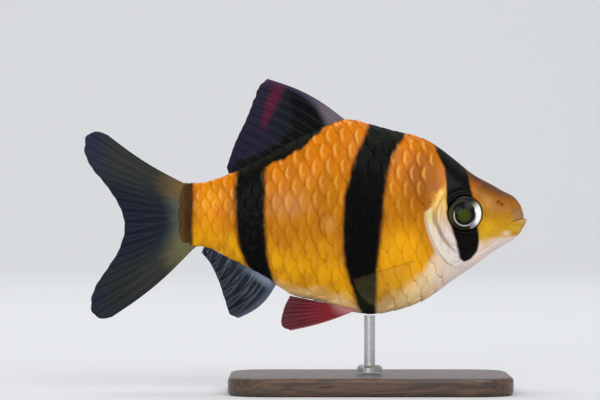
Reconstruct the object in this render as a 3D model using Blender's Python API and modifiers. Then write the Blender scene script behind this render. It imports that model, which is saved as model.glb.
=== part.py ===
"""Tiger barb: a life-size still model of the fish, held level over a flat base by one short rod.

Metres, +Z up. The snout points along +X, the fish's right side faces -Y, and the base rests on z = 0
with the whole model centred over the origin.
"""

import math

import bmesh
import bpy
import numpy as np

MM = 0.001
GAP = 0.3 * MM  # kept between pieces that meet

# Body stations from the root of the tail to the snout: place along the body, back, belly, half width
STATIONS = np.array([
    (-15.9, 28.1, 19.6, 0.80),
    (-13.7, 28.2, 19.6, 1.05),
    (-9.9, 29.5, 17.9, 1.65),
    (-5.5, 31.8, 15.7, 2.35),
    (-1.6, 34.0, 13.2, 2.95),
    (2.6, 35.8, 12.2, 3.45),
    (5.7, 36.7, 11.1, 3.70),
    (9.0, 36.0, 10.6, 3.85),
    (12.4, 35.1, 11.1, 3.90),
    (15.6, 34.3, 12.2, 3.80),
    (18.0, 33.1, 13.6, 3.65),
    (20.5, 31.2, 15.4, 3.40),
    (22.9, 29.3, 17.0, 3.10),
    (25.3, 28.0, 18.8, 2.65),
    (27.4, 26.85, 20.0, 2.15),
    (30.0, 26.1, 21.1, 1.60),
]).T * MM
TAIL_ROOT = -15.9 * MM
PEDUNCLE_FRONT = -10.6 * MM
HEAD_REAR = 16.9 * MM
SNOUT_ROUNDING = 27.4 * MM  # ahead of this the sections close to the tip like a quarter ellipse
SNOUT_TIP = 30.0 * MM
EGG = 0.10  # how much wider each section is below its middle than above it

# Eye
EYE_X, EYE_Z = 21.5 * MM, 24.05 * MM
EYE_RADIUS = 2.40 * MM
EYE_DEPTH = 1.15 * MM  # half of its thickness
EYE_SUNK = 0.45 * MM  # its middle lies this far under the cheek
ORBIT_RIM = 0.20 * MM

# Mouth
MOUTH_CORNER_X, MOUTH_Z = 27.7 * MM, 23.4 * MM
THROAT_X, THROAT_Z = 25.9 * MM, 18.2 * MM  # where the jaw ends on the underside
LIP_RADIUS = 0.38 * MM
UPPER_LIP_BACK = 0.42 * MM  # the upper lip and the snout end this far behind the lower lip
NOSTRIL_X, NOSTRIL_Z = 26.3 * MM, 25.5 * MM
NOSTRIL_RADIUS = 0.42 * MM

# Gill cover: a tilted oval with the surroundings of the eye left out
COVER_X, COVER_Z = 19.1 * MM, 23.6 * MM
COVER_HALF_WIDTH, COVER_HALF_HEIGHT = 2.9 * MM, 6.7 * MM
COVER_LEAN = 0.19  # forward shift of the oval per length downward
COVER_EYE_CLEARANCE = 1.0 * MM
COVER_SOFTNESS = 0.45 * MM  # rounds the corners where its oval meets the surroundings of the eye
COVER_THICKNESS = 0.6 * MM
COVER_LIFT = 0.30 * MM  # how far its rear edge stands off the shoulder

# Fins: membrane at the edge, raise of a ray, and the number of rays
FIN_EDGE = 0.30 * MM
FIN_WEB = 0.50 * MM
RAY_RAISE = 0.22 * MM
DORSAL_RAYS, ANAL_RAYS, LOBE_RAYS, PECTORAL_RAYS, PELVIC_RAYS = 12, 9, 10, 13, 9

# Stand
BASE_LENGTH, BASE_WIDTH, BASE_HEIGHT = 38 * MM, 23 * MM, 2.4 * MM
ROD_X = 8.8 * MM
ROD_RADIUS = 0.75 * MM
COLLAR_RADIUS, COLLAR_HEIGHT = 1.7 * MM, 0.9 * MM

ORANGE, GOLD, BLACK = (0.62, 0.23, 0.02), (0.66, 0.33, 0.03), (0.012, 0.014, 0.010)
SILVER, SLATE, RED = (0.60, 0.52, 0.42), (0.045, 0.055, 0.085), (0.26, 0.03, 0.05)


def clear_scene():
    for item in list(bpy.data.objects):
        bpy.data.objects.remove(item, do_unlink=True)


def material(name, colour, roughness, metallic=0.0):
    finish = bpy.data.materials.new(name)
    finish.use_nodes = True
    shader = finish.node_tree.nodes["Principled BSDF"]
    shader.inputs["Base Color"].default_value = (*colour, 1.0)
    shader.inputs["Roughness"].default_value = roughness
    shader.inputs["Metallic"].default_value = metallic
    return finish


# Curves and the shape of the body

def smooth(places, knots, values):
    """Cubic through the knots, the slope at each taken from its two neighbours."""
    slopes = np.gradient(values, knots)
    i = np.clip(np.searchsorted(knots, places) - 1, 0, len(knots) - 2)
    span = knots[i + 1] - knots[i]
    t = (places - knots[i]) / span
    rise = 3 * t**2 - 2 * t**3
    bend = span * (slopes[i] * (t**3 - 2 * t**2 + t) + slopes[i + 1] * (t**3 - t**2))
    return values[i] + (values[i + 1] - values[i]) * rise + bend


def section(x):
    """Middle height, half height and half width of the body's section at x."""
    x = np.clip(np.asarray(x, float), TAIL_ROOT, SNOUT_TIP)
    back = smooth(x, STATIONS[0], STATIONS[1])
    belly = smooth(x, STATIONS[0], STATIONS[2])
    width = smooth(x, STATIONS[0], STATIONS[3])
    ahead = np.clip((x - SNOUT_ROUNDING) / (SNOUT_TIP - SNOUT_ROUNDING), 0, 1)
    closing = np.sqrt(1 - ahead**2)
    return (back + belly) / 2, (back - belly) / 2 * closing, width * closing


def back_height(x):
    middle, half_height, _ = section(x)
    return middle + half_height


def belly_height(x, y=0.0):
    """Height of the underside at x, a distance y out from the midline, found by halving."""
    middle, half_height, _ = section(x)
    low, high = -np.ones_like(middle), -np.full_like(middle, 0.2)
    for _ in range(30):
        guess = (low + high) / 2
        outside = flank(x, middle + guess * half_height) < y
        low, high = np.where(outside, guess, low), np.where(outside, high, guess)
    return middle + low * half_height


def flank(x, z):
    """Distance of the skin from the midline plane at a place seen from the side."""
    middle, half_height, half_width = section(x)
    s = np.clip((z - middle) / np.maximum(half_height, 1e-9), -1, 1)
    return half_width * np.sqrt(1 - s**2) * (1 - EGG * s)


def soft_least(a, b, softness):
    """The lesser of two lengths, rounded where they meet."""
    return -softness * np.log(np.exp(-a / softness) + np.exp(-b / softness))


# Meshes

def new_object(name, vertices, faces, finish, group):
    """An object of the given faces, welded and with its faces turned outward."""
    mesh = bpy.data.meshes.new(name)
    mesh.from_pydata([tuple(v) for v in vertices], [], [tuple(int(i) for i in f) for f in faces])
    work = bmesh.new()
    work.from_mesh(mesh)
    bmesh.ops.remove_doubles(work, verts=work.verts, dist=1e-7)
    bmesh.ops.recalc_face_normals(work, faces=work.faces)
    work.to_mesh(mesh)
    work.free()
    mesh.materials.append(finish)
    item = bpy.data.objects.new(name, mesh)
    group.objects.link(item)
    return item


def rings_to_faces(rings, sides):
    """Quads between neighbouring closed rings, with one flat face at each end."""
    faces = []
    for r in range(rings - 1):
        for s in range(sides):
            a, b = r * sides + s, r * sides + (s + 1) % sides
            faces.append((a, b, b + sides, a + sides))
    faces.append(range(sides))
    faces.append(range((rings - 1) * sides, rings * sides))
    return faces


def body_length(name, places, sides, finish, group, shorter=0.0):
    """A length of the body: egg-shaped rings at the given places, the last 2 mm of it made shorter if asked."""
    angle = np.linspace(0, 2 * math.pi, sides, endpoint=False)
    middle, half_height, half_width = (v[:, None] for v in section(places))
    y = half_width * np.cos(angle) * (1 - EGG * np.sin(angle))
    z = middle + half_height * np.sin(angle)
    moved = places - shorter * np.clip((places - SNOUT_TIP) / (2 * MM) + 1, 0, 1) ** 1.5
    x = np.broadcast_to(moved[:, None], y.shape)
    vertices = np.stack([x, y, z], axis=-1).reshape(-1, 3)
    return new_object(name, vertices, rings_to_faces(len(places), sides), finish, group)


def tube(points, radius, closed, finish, group, swell=None):
    """A round tube along the points, made with a bevelled curve and turned into a closed mesh.

    Swell is the share of the radius at each point.
    """
    data = bpy.data.curves.new("tube", "CURVE")
    data.dimensions = "3D"
    data.bevel_depth = radius
    data.bevel_resolution = 1
    data.use_fill_caps = True
    line = data.splines.new("POLY")
    line.points.add(len(points) - 1)
    line.points.foreach_set("co", np.column_stack([points, np.ones(len(points))]).ravel())
    if swell is not None:
        line.points.foreach_set("radius", swell)
    line.use_cyclic_u = closed
    curve = bpy.data.objects.new("tube", data)
    group.objects.link(curve)
    graph = bpy.context.evaluated_depsgraph_get()
    mesh = bpy.data.meshes.new_from_object(curve.evaluated_get(graph))
    bpy.data.objects.remove(curve, do_unlink=True)
    work = bmesh.new()
    work.from_mesh(mesh)
    bmesh.ops.remove_doubles(work, verts=work.verts, dist=1e-7)
    bmesh.ops.recalc_face_normals(work, faces=work.faces)
    work.to_mesh(mesh)
    work.free()
    mesh.materials.clear()
    mesh.materials.append(finish)
    item = bpy.data.objects.new("tube", mesh)
    group.objects.link(item)
    return item


def ball(x, y, z, radii, finish, group, segments=20):
    """An ellipsoid with its poles to the fish's left and right."""
    bpy.ops.mesh.primitive_uv_sphere_add(segments=segments, ring_count=segments // 2, radius=1.0)
    item = bpy.context.object
    item.rotation_euler = (math.pi / 2, 0, 0)
    bpy.ops.object.transform_apply(rotation=True)
    item.scale = radii
    bpy.ops.object.transform_apply(scale=True)
    item.location = (x, y, z)
    bpy.ops.object.transform_apply(location=True)
    item.data.materials.append(finish)
    for owner in list(item.users_collection):
        owner.objects.unlink(item)
    group.objects.link(item)
    return item


def combine(target, pieces, operation):
    """One applied Boolean of the target with a collection of pieces, which is then removed."""
    group = bpy.data.collections.new("operands")
    bpy.context.scene.collection.children.link(group)
    for piece in pieces:
        for owner in list(piece.users_collection):
            owner.objects.unlink(piece)
        group.objects.link(piece)
    cut = target.modifiers.new("combine", "BOOLEAN")
    cut.operation = operation
    cut.operand_type = "COLLECTION"
    cut.collection = group
    cut.solver = "EXACT"
    graph = bpy.context.evaluated_depsgraph_get()
    mesh = bpy.data.meshes.new_from_object(target.evaluated_get(graph))
    target.modifiers.remove(cut)
    target.data = mesh
    for piece in pieces:
        bpy.data.objects.remove(piece, do_unlink=True)
    bpy.data.collections.remove(group)
    keep_largest(target)


def keep_largest(item):
    """Deletes every loose surface but the one with the most faces."""
    work = bmesh.new()
    work.from_mesh(item.data)
    unseen = set(work.verts)
    islands = []
    while unseen:
        front, island = [unseen.pop()], []
        while front:
            vertex = front.pop()
            island.append(vertex)
            near = [e.other_vert(vertex) for e in vertex.link_edges]
            fresh = [v for v in near if v in unseen]
            unseen.difference_update(fresh)
            front.extend(fresh)
        islands.append(island)
    islands.sort(key=len)
    for island in islands[:-1]:
        bmesh.ops.delete(work, geom=island, context="VERTS")
    work.to_mesh(item.data)
    work.free()


# Fins

def fin(name, base, margin, rays, rows, root, finish, group, bow=0.0, side=lambda x, z: 0 * x):
    """A thin fin between its base line and its outer margin, both functions of u from 0 to 1.

    Rays run from base to margin as ridges: every other column of the grid is a ray and stands
    RAY_RAISE above the web on both faces. Bow bends the front rays forward. Side gives the
    distance of the fin's middle surface from the midline plane.
    """
    columns = 2 * rays - 1
    u = np.linspace(0, 1, columns)[:, None]
    v = np.linspace(0, 1, rows + 1)[None, :]
    (bx, bz), (mx, mz) = base(u), margin(u)
    dx, dz = mx - bx, mz - bz
    length = np.hypot(dx, dz) + 1e-12
    swell = bow * np.sin(math.pi * v) * (1 - u) ** 2
    turn = np.sign(bow) * np.sign(dz)
    x = bx + dx * v + np.abs(swell) * turn * dz / length
    z = bz + dz * v - np.abs(swell) * turn * dx / length
    crest = (np.arange(columns) % 2 == 0)[:, None]
    fade = np.clip(v / 0.45, 0, 1)
    web = root + (FIN_WEB - root) * fade + (FIN_EDGE - FIN_WEB) * np.clip((v - 0.45) / 0.55, 0, 1)
    thick = web + RAY_RAISE * crest * (1 - 0.6 * v)
    y = side(x, z)
    return slab(name, x, y, z, thick, finish, group)


def slab(name, x, y, z, thick, finish, group):
    """A closed sheet: a grid of places with its thickness laid off to both sides along Y."""
    columns, count = x.shape[0], x.shape[1]
    near = np.stack([x, y - thick / 2, z], axis=-1).reshape(-1, 3)
    far = np.stack([x, y + thick / 2, z], axis=-1).reshape(-1, 3)
    total = columns * count
    faces = []
    for c in range(columns - 1):
        for r in range(count - 1):
            a, b = c * count + r, (c + 1) * count + r
            for i, j, k in ((a, b, b + 1), (a, b + 1, a + 1)):
                faces.append((i, j, k))
                faces.append((i + total, k + total, j + total))
    rim = [c * count for c in range(columns)]
    rim += [(columns - 1) * count + r for r in range(1, count)]
    rim += [c * count + count - 1 for c in range(columns - 2, -1, -1)]
    rim += [r for r in range(count - 2, 0, -1)]
    for i, j in zip(rim, rim[1:] + rim[:1]):
        faces.append((i, j, j + total, i + total))
    return new_object(name, np.vstack([near, far]), faces, finish, group)


def line_through(points):
    """A smooth line through a few places, as a function of u from 0 to 1 spaced by their distances."""
    x, z = np.array(points).T * MM
    steps = np.hypot(np.diff(x), np.diff(z))
    knots = np.concatenate([[0], np.cumsum(steps)]) / steps.sum()
    return lambda u: (smooth(u, knots, x), smooth(u, knots, z))


def dorsal_fin(finish, group):
    def base(u):
        x = (5.5 - 15.7 * u) * MM
        return x, back_height(x) + GAP

    margin = line_through([(-5.0, 42.3), (-5.9, 41.6), (-6.9, 39.4), (-8.0, 36.6), (-9.4, 33.6), (-10.5, 30.3)])
    fin("dorsal_fin", base, margin, DORSAL_RAYS, 7, 1.0 * MM, finish, group, bow=0.7 * MM)


def anal_fin(finish, group):
    def base(u):
        x = (-3.8 - 9.8 * u) * MM
        return x, belly_height(x) - GAP

    margin = line_through([(-8.9, 9.95), (-9.9, 10.3), (-10.7, 12.2), (-11.7, 15.2), (-12.9, 17.6), (-13.9, 18.8)])
    fin("anal_fin", base, margin, ANAL_RAYS, 6, 1.0 * MM, finish, group, bow=0.7 * MM)


def caudal_lobe(name, root_ends, outline, bow, finish, group):
    """A lobe of the tail, from its outer edge in to the fork."""
    x = TAIL_ROOT - GAP
    outer, inner = (z * MM for z in root_ends)

    def base(u):
        return x + 0 * u, outer + (inner - outer) * u

    fin(name, base, line_through(outline), LOBE_RAYS, 8, 1.4 * MM, finish, group, bow=bow)


def pectoral_fin(name, mirror, finish, group):
    """A fan folded back along the flank, its rays spread from the root behind the gill cover."""
    root_x, root_z = 15.4 * MM, 17.0 * MM

    def base(u):
        return root_x - 0.3 * MM * u, root_z + (1.1 - 2.2 * u) * MM

    def margin(u):
        angle = np.radians(180 + 17 + 30 * u)
        reach = (9.6 - 3.4 * u**2) * MM
        bx, bz = base(u)
        return bx + reach * np.cos(angle), bz + reach * np.sin(angle)

    def side(x, z):
        clear = flank(root_x, root_z) + GAP + 0.5 * MM
        return mirror * (clear + 0.05 * (root_x - x) + 0.24 * (z - root_z))

    fin(name, base, margin, PECTORAL_RAYS, 5, 0.55 * MM, finish, group, side=side)


def pelvic_fin(name, mirror, finish, group):
    """A fan under the belly that leans outward toward its tip."""
    front, rear, out = 6.9 * MM, 5.0 * MM, 1.15 * MM

    def base(u):
        x = front + (rear - front) * u
        return x, belly_height(x, out - 0.4 * MM) - GAP

    margin = line_through([(-1.9, 8.35), (-3.0, 8.9), (-2.9, 11.0), (-2.0, 12.9)])

    def side(x, z):
        return mirror * (out + 0.17 * (rear - np.minimum(x, rear)))

    fin(name, base, margin, PELVIC_RAYS, 6, 0.7 * MM, finish, group, bow=0.3 * MM, side=side)


# Head

def gill_plate(name, mirror, grow, outer, inner, finish, group):
    """A plate that follows the cheek: rows from top to bottom, each from the rear to the front edge.

    Grow widens its outline; outer and inner are its two faces' distances from the skin at the
    front edge, and the outer face rises by COVER_LIFT towards the rear edge.
    """
    rows, columns = 19, 6
    half_height = COVER_HALF_HEIGHT + grow
    s = np.cos(np.linspace(0.12, math.pi - 0.12, rows))[:, None]
    z = COVER_Z + half_height * s
    middle = COVER_X - COVER_LEAN * (z - COVER_Z)
    half = (COVER_HALF_WIDTH + grow) * np.sqrt(1 - s**2)
    rear, front = middle - half, middle + half
    ring = EYE_RADIUS + COVER_EYE_CLEARANCE - grow
    drop = np.clip(EYE_Z - z, 0, None)
    beside_eye = EYE_X - np.sqrt(np.clip(ring**2 - drop**2, 0, None)) + 1.5 * np.clip(drop - ring, 0, None)
    front = np.maximum(rear + 0.1 * MM, soft_least(front, beside_eye, COVER_SOFTNESS))
    t = np.linspace(0, 1, columns)[None, :]
    x = rear + (front - rear) * t
    z = np.broadcast_to(z, x.shape)
    skin = flank(x, z)
    high = skin + outer + COVER_LIFT * (1 - t) ** 2 * (1 if grow == 0 else 0)
    low = skin + inner
    return slab(name, x, mirror * (high + low) / 2, z, high - low, finish, group)


def lip(above, finish, group):
    """A lip from one corner of the mouth round the snout to the other."""
    z = MOUTH_Z + above * (LIP_RADIUS * 0.8 + GAP / 2)
    a = np.linspace(-math.pi / 2, math.pi / 2, 15)
    front = SNOUT_TIP - LIP_RADIUS * 0.9 - (UPPER_LIP_BACK if above > 0 else 0)
    x = MOUTH_CORNER_X + (front - MOUTH_CORNER_X) * np.cos(a)
    y = flank(MOUTH_CORNER_X, z) * 0.9 * np.sin(a)
    path = np.column_stack([x, y, np.full_like(x, z)])
    return tube(path, LIP_RADIUS, False, finish, group, swell=0.6 + 0.4 * np.cos(a))


def ring_on_cheek(x, z, radius, thickness, mirror, finish, group, count=20):
    a = np.linspace(0, 2 * math.pi, count, endpoint=False)
    px, pz = x + radius * np.cos(a), z + radius * np.sin(a)
    return tube(np.column_stack([px, mirror * flank(px, pz), pz]), thickness, True, finish, group)


def jaw_wedge(clear, finish, group):
    """The block that holds the lower jaw, seen from the side as a wedge below the mouth line."""
    far = 36 * MM
    top = MOUTH_Z - clear
    slope = (MOUTH_CORNER_X - THROAT_X) / (MOUTH_Z - THROAT_Z)
    corner = MOUTH_CORNER_X + clear * 1.2
    bottom_z = THROAT_Z - 4 * MM
    outline = ((corner, top), (far, top), (far, bottom_z), (corner - slope * (top - bottom_z), bottom_z))
    vertices = [(x, y, z) for y in (-8 * MM, 8 * MM) for x, z in outline]
    return new_object("wedge", vertices, rings_to_faces(2, 4), finish, group)


def head_places():
    straight = np.linspace(HEAD_REAR + GAP / 2, SNOUT_ROUNDING, 13)[:-1]
    quarter = np.linspace(0, math.pi / 2, 8)[:-1]
    rounded = SNOUT_ROUNDING + (SNOUT_TIP - SNOUT_ROUNDING) * np.sin(quarter)
    return np.concatenate([straight, rounded])


def head_and_jaw(skin, lips, group):
    head = body_length("head", head_places(), 36, skin, group, UPPER_LIP_BACK)
    jaw = body_length("lower_jaw", head_places()[-12:], 36, lips, group)
    combine(jaw, [lip(-1, lips, group)], "UNION")
    combine(jaw, [jaw_wedge(GAP / 2, lips, group)], "INTERSECT")
    extras = [lip(1, skin, group)]
    for mirror in (-1, 1):
        extras.append(ring_on_cheek(EYE_X, EYE_Z, EYE_RADIUS + 0.3 * MM, ORBIT_RIM, mirror, skin, group))
        extras.append(ring_on_cheek(NOSTRIL_X, NOSTRIL_Z, NOSTRIL_RADIUS, 0.13 * MM, mirror, skin, group, 10))
    combine(head, extras, "UNION")
    cuts = [jaw_wedge(-GAP / 2, skin, group)]
    for mirror in (-1, 1):
        cuts.append(gill_plate("recess", mirror, GAP, 2.5 * MM, -COVER_THICKNESS - GAP, skin, group))
        cuts.append(eye_ball("socket", mirror, GAP, skin, group))
        deep = mirror * flank(NOSTRIL_X, NOSTRIL_Z)
        cuts.append(ball(NOSTRIL_X, deep, NOSTRIL_Z, (0.32 * MM, 0.6 * MM, 0.32 * MM), skin, group, 10))
    combine(head, cuts, "DIFFERENCE")


def eye_ball(name, mirror, grow, finish, group):
    y = mirror * (flank(EYE_X, EYE_Z) - EYE_SUNK)
    radii = (EYE_RADIUS + grow, EYE_DEPTH + grow, EYE_RADIUS + grow)
    item = ball(EYE_X, y, EYE_Z, radii, finish, group, 24)
    item.name = name
    return item


# Body behind the head

def torso(finish, group):
    places = np.linspace(PEDUNCLE_FRONT + GAP / 2, HEAD_REAR - GAP / 2, 22)
    item = body_length("torso", places, 36, finish, group)
    cuts = []
    for mirror in (-1, 1):
        cuts.append(gill_plate("recess", mirror, GAP, 2.5 * MM, -COVER_THICKNESS - GAP, finish, group))
    combine(item, cuts, "DIFFERENCE")


def tail_peduncle(finish, group):
    body_length("tail_peduncle", np.linspace(TAIL_ROOT, PEDUNCLE_FRONT - GAP / 2, 7), 28, finish, group)


# Stand

def stand(wood, steel, group):
    bpy.ops.mesh.primitive_cube_add(size=1.0, location=(ROD_X, 0, BASE_HEIGHT / 2))
    base = bpy.context.object
    base.name = "stand_base"
    base.scale = (BASE_LENGTH, BASE_WIDTH, BASE_HEIGHT)
    bpy.ops.object.transform_apply(scale=True)
    corners = base.data.attributes.new("bevel_weight_edge", "FLOAT", "EDGE")
    for edge in base.data.edges:
        a, b = (base.data.vertices[i].co for i in edge.vertices)
        corners.data[edge.index].value = 1.0 if abs(a.z - b.z) > BASE_HEIGHT / 2 else 0.0
    rounding = base.modifiers.new("round corners", "BEVEL")
    rounding.limit_method = "WEIGHT"
    rounding.width = 5 * MM
    rounding.segments = 8
    softening = base.modifiers.new("soft edges", "BEVEL")
    softening.limit_method = "ANGLE"
    softening.angle_limit = math.radians(60)
    softening.width = 0.5 * MM
    softening.segments = 2
    base.data.materials.append(wood)
    foot, top = BASE_HEIGHT + GAP, float(belly_height(ROD_X)) - GAP
    profile = [
        (0, top), (ROD_RADIUS, top), (ROD_RADIUS, foot + COLLAR_HEIGHT),
        (COLLAR_RADIUS - 0.3 * MM, foot + COLLAR_HEIGHT), (COLLAR_RADIUS, foot + COLLAR_HEIGHT - 0.3 * MM),
        (COLLAR_RADIUS, foot), (0, foot),
    ]
    mesh = bpy.data.meshes.new("stand_rod")
    mesh.from_pydata([(r, 0, z) for r, z in profile], [(i, i + 1) for i in range(len(profile) - 1)], [])
    mesh.materials.append(steel)
    rod = bpy.data.objects.new("stand_rod", mesh)
    rod.location = (ROD_X, 0, 0)
    turn = rod.modifiers.new("turn", "SCREW")
    turn.steps = turn.render_steps = 24
    turn.use_merge_vertices = True
    turn.merge_threshold = 0.00001
    group.objects.link(rod)
    for owner in list(base.users_collection):
        owner.objects.unlink(base)
    group.objects.link(base)


def main():
    clear_scene()
    group = bpy.data.collections.new("tiger_barb")
    bpy.context.scene.collection.children.link(group)
    head_and_jaw(material("head skin", ORANGE, 0.35), material("lips", SILVER, 0.4), group)
    torso(material("flank", ORANGE, 0.35), group)
    tail_peduncle(material("tail root", GOLD, 0.35), group)
    dorsal_fin(material("dorsal", BLACK, 0.5), group)
    anal_fin(material("anal", SLATE, 0.5), group)
    upper = [(-26.6, 34.7), (-28.1, 35.2), (-29.3, 34.8), (-29.9, 33.2), (-29.4, 31.3), (-26.7, 27.7),
             (-24.8, 24.5), (-24.35, 22.6)]
    lower = [(-26.0, 10.1), (-27.2, 9.8), (-28.4, 10.2), (-29.0, 11.9), (-28.5, 13.8), (-27.2, 15.9),
             (-25.0, 19.4), (-24.3, 22.3)]
    tail = material("caudal", SLATE, 0.5)
    caudal_lobe("caudal_lobe_upper", (28.0, 24.0), upper, -0.4 * MM, tail, group)
    caudal_lobe("caudal_lobe_lower", (19.1, 23.7), lower, 0.5 * MM, tail.copy(), group)
    for word, mirror in (("right", -1), ("left", 1)):
        gill_plate("gill_cover_" + word, mirror, 0, 0.15 * MM, -COVER_THICKNESS,
                   material("gill cover " + word, SILVER, 0.3), group)
        eye_ball("eye_" + word, mirror, 0, material("eye " + word, BLACK, 0.1), group)
        pectoral_fin("pectoral_fin_" + word, mirror, material("pectoral " + word, GOLD, 0.4), group)
        pelvic_fin("pelvic_fin_" + word, mirror, material("pelvic " + word, RED, 0.4), group)
    stand(material("stand wood", (0.05, 0.03, 0.02), 0.4), material("rod", (0.6, 0.6, 0.6), 0.3, 1.0), group)


main()
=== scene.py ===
"""Tiger barb, a life-size still model over a display stand: the looks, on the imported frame.

Metres, +Z up. The snout points along +X and the fish's right side faces -Y. Lengths named below are
in millimetres and are turned to metres where a mesh is made.
"""
import math

import bpy
import numpy as np
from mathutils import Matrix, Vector


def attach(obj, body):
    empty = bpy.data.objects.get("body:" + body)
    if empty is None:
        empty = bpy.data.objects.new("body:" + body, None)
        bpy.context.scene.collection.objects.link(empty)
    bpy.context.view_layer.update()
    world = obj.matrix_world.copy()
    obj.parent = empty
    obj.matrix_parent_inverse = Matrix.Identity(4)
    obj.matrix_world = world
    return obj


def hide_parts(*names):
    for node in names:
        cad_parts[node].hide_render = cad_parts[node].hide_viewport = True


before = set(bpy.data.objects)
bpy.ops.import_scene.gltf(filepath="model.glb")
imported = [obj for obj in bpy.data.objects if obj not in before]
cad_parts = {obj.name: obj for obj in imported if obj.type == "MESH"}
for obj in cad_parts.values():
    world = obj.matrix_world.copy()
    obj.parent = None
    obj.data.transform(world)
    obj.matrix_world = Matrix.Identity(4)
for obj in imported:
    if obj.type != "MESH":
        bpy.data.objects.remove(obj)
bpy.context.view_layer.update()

MM = 0.001
BOTH_SIDES = (("right", -1), ("left", 1))

# Body stations from the root of the tail to the snout: place along the body, back, belly, half width
STATIONS = np.array([
    (-15.9, 28.1, 19.6, 0.80), (-13.7, 28.2, 19.6, 1.05), (-9.9, 29.5, 17.9, 1.65), (-5.5, 31.8, 15.7, 2.35),
    (-1.6, 34.0, 13.2, 2.95), (2.6, 35.8, 12.2, 3.45), (5.7, 36.7, 11.1, 3.70), (9.0, 36.0, 10.6, 3.85),
    (12.4, 35.1, 11.1, 3.90), (15.6, 34.3, 12.2, 3.80), (18.0, 33.1, 13.6, 3.65), (20.5, 31.2, 15.4, 3.40),
    (22.9, 29.3, 17.0, 3.10), (25.3, 28.0, 18.8, 2.65), (27.4, 26.85, 20.0, 2.15), (30.0, 26.1, 21.1, 1.60),
]).T
TAIL_ROOT, SNOUT_ROUNDING, SNOUT_TIP = -15.9, 27.4, 30.0
TAIL_END = -17.3  # the flesh closes inside the root of the tail fin
EGG = 0.10  # how much wider each section is below its middle than above it

# Skin: where its close rings begin, how many rings each stretch has, and the sides of a ring
HEAD_RINGS_FROM = 15.4
TAIL_RINGS, BODY_RINGS, HEAD_RINGS, TIP_RINGS, RING_SIDES = 9, 88, 172, 62, 296
SIDES_CROWDING = 0.17  # how much closer the sides lie on the flanks than at back and belly

# Head: eye, gill cover, lips and nostrils (place and radius)
EYE_X, EYE_Z, EYE_RADIUS, EYE_DEPTH, EYE_SUNK, EYE_BULGE = 21.5, 24.05, 2.40, 1.15, 0.45, 0.06
COVER_X, COVER_Z, COVER_HALF_WIDTH, COVER_HALF_HEIGHT, COVER_LEAN = 19.1, 23.6, 2.9, 6.7, 0.19
UPPER_LIP_BACK = 0.42  # the upper lip ends this far behind the lower one
NOSTRILS = ((26.55, 25.35, 0.15), (26.10, 25.62, 0.20))
NOSTRIL_DEPTH = 0.32
MOUTH = [(30.3, 23.5), (29.4, 23.36), (28.6, 23.2), (28.05, 23.0), (27.7, 22.65)]
RELIEF_FROM = (14.6, 15.6)  # the head's relief grows to its full height between these places
SOCKET_DEPTH, SOCKET_WALL = 1.25, (2.12, 2.42)
COVER_RISE, COVER_FADE = 0.30, 1.7

# Ridges of the head, or troughs: height, distance from the eye's middle or from a line, and width
EYE_RIM, EYE_TROUGH = (0.15, 2.60, 0.20), (-0.07, 3.15, 0.30)
COVER_GROOVE, CHEEK_RIDGE, NOSTRIL_RIM = (-0.16, 0.16, 0.20), (0.06, 0.35, 0.22), (0.09, 0.10, 0.09)
UPPER_LIP_CREASE, LOWER_LIP_CREASE = (-0.12, 0.0, 0.13), (-0.06, 0.0, 0.16)
LIP_SWELL, MOUTH_CUT = (0.07, 0.42, 0.26), (-0.24, 0.0, 0.07)
WRINKLE, WRINKLE_X, WRINKLE_Z, WRINKLE_REACH = 0.018, 28.75, 24.1, 0.55

# Coat: sink of the skin under it, and each scale's lengths from its root
COAT_DEPTH = 0.12
SCALE_REAR, SCALE_FRONT, SCALE_SPREAD = 1.62, 0.95, 1.04
SCALE_GRID = 12
SCALE_THICKNESS = 0.05
SCALE_BASE, SCALE_RISE, SCALE_DOME = -0.11, 0.20, 0.038  # height at its front, gain to its free edge, dome
MIDLINE_RISE, MIDLINE_SPREAD = 0.05, 0.72  # the rows over back and belly lie higher and are narrower
RIDGE_GAP = 0.04  # flank scales end this short of the midline
UNDER_HEAD = 0.75  # the last roots lie this far ahead of the head's limit
FULL_STEP = 1.86  # the step between scales at which one has its full lengths
BAKE_PATCH, BAKE_LENGTH, BAKE_GIRTH = 0.003, 40, 28  # a scale's patch of the map, and what the map covers

# Head's rear limit for the scales: height, place along the body
HEAD_LIMIT = np.array([
    (10.0, 18.6), (14.0, 19.3), (16.0, 19.6), (17.3, 18.7), (19.0, 17.5), (21.0, 16.5), (23.6, 16.1),
    (26.0, 16.2), (28.0, 16.4), (30.0, 17.0), (31.5, 17.5), (33.0, 18.0), (36.0, 18.4),
]).T


# Curves and the shape of the body

def smooth(places, knots, values):
    """Cubic through the knots, the slope at each taken from its two neighbours."""
    slopes = np.gradient(values, knots)
    i = np.clip(np.searchsorted(knots, places) - 1, 0, len(knots) - 2)
    span = knots[i + 1] - knots[i]
    t = (places - knots[i]) / span
    rise = 3 * t**2 - 2 * t**3
    bend = span * (slopes[i] * (t**3 - 2 * t**2 + t) + slopes[i + 1] * (t**3 - t**2))
    return values[i] + (values[i + 1] - values[i]) * rise + bend


def section(x):
    """Middle height, half height and half width of the body's section at x, closed at both ends."""
    x = np.asarray(x, float)
    held = np.clip(x, TAIL_ROOT, SNOUT_TIP)
    back, belly, width = (smooth(held, STATIONS[0], row) for row in STATIONS[1:])
    ahead = np.clip((held - SNOUT_ROUNDING) / (SNOUT_TIP - SNOUT_ROUNDING), 0, 1)
    behind = np.clip((TAIL_ROOT - x) / (TAIL_ROOT - TAIL_END), 0, 1)
    closing = np.sqrt(1 - ahead**2)
    half_height = (back - belly) / 2 * closing * np.sqrt(1 - behind**6)
    return (back + belly) / 2, half_height, width * closing * np.sqrt(1 - behind**2)


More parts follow.
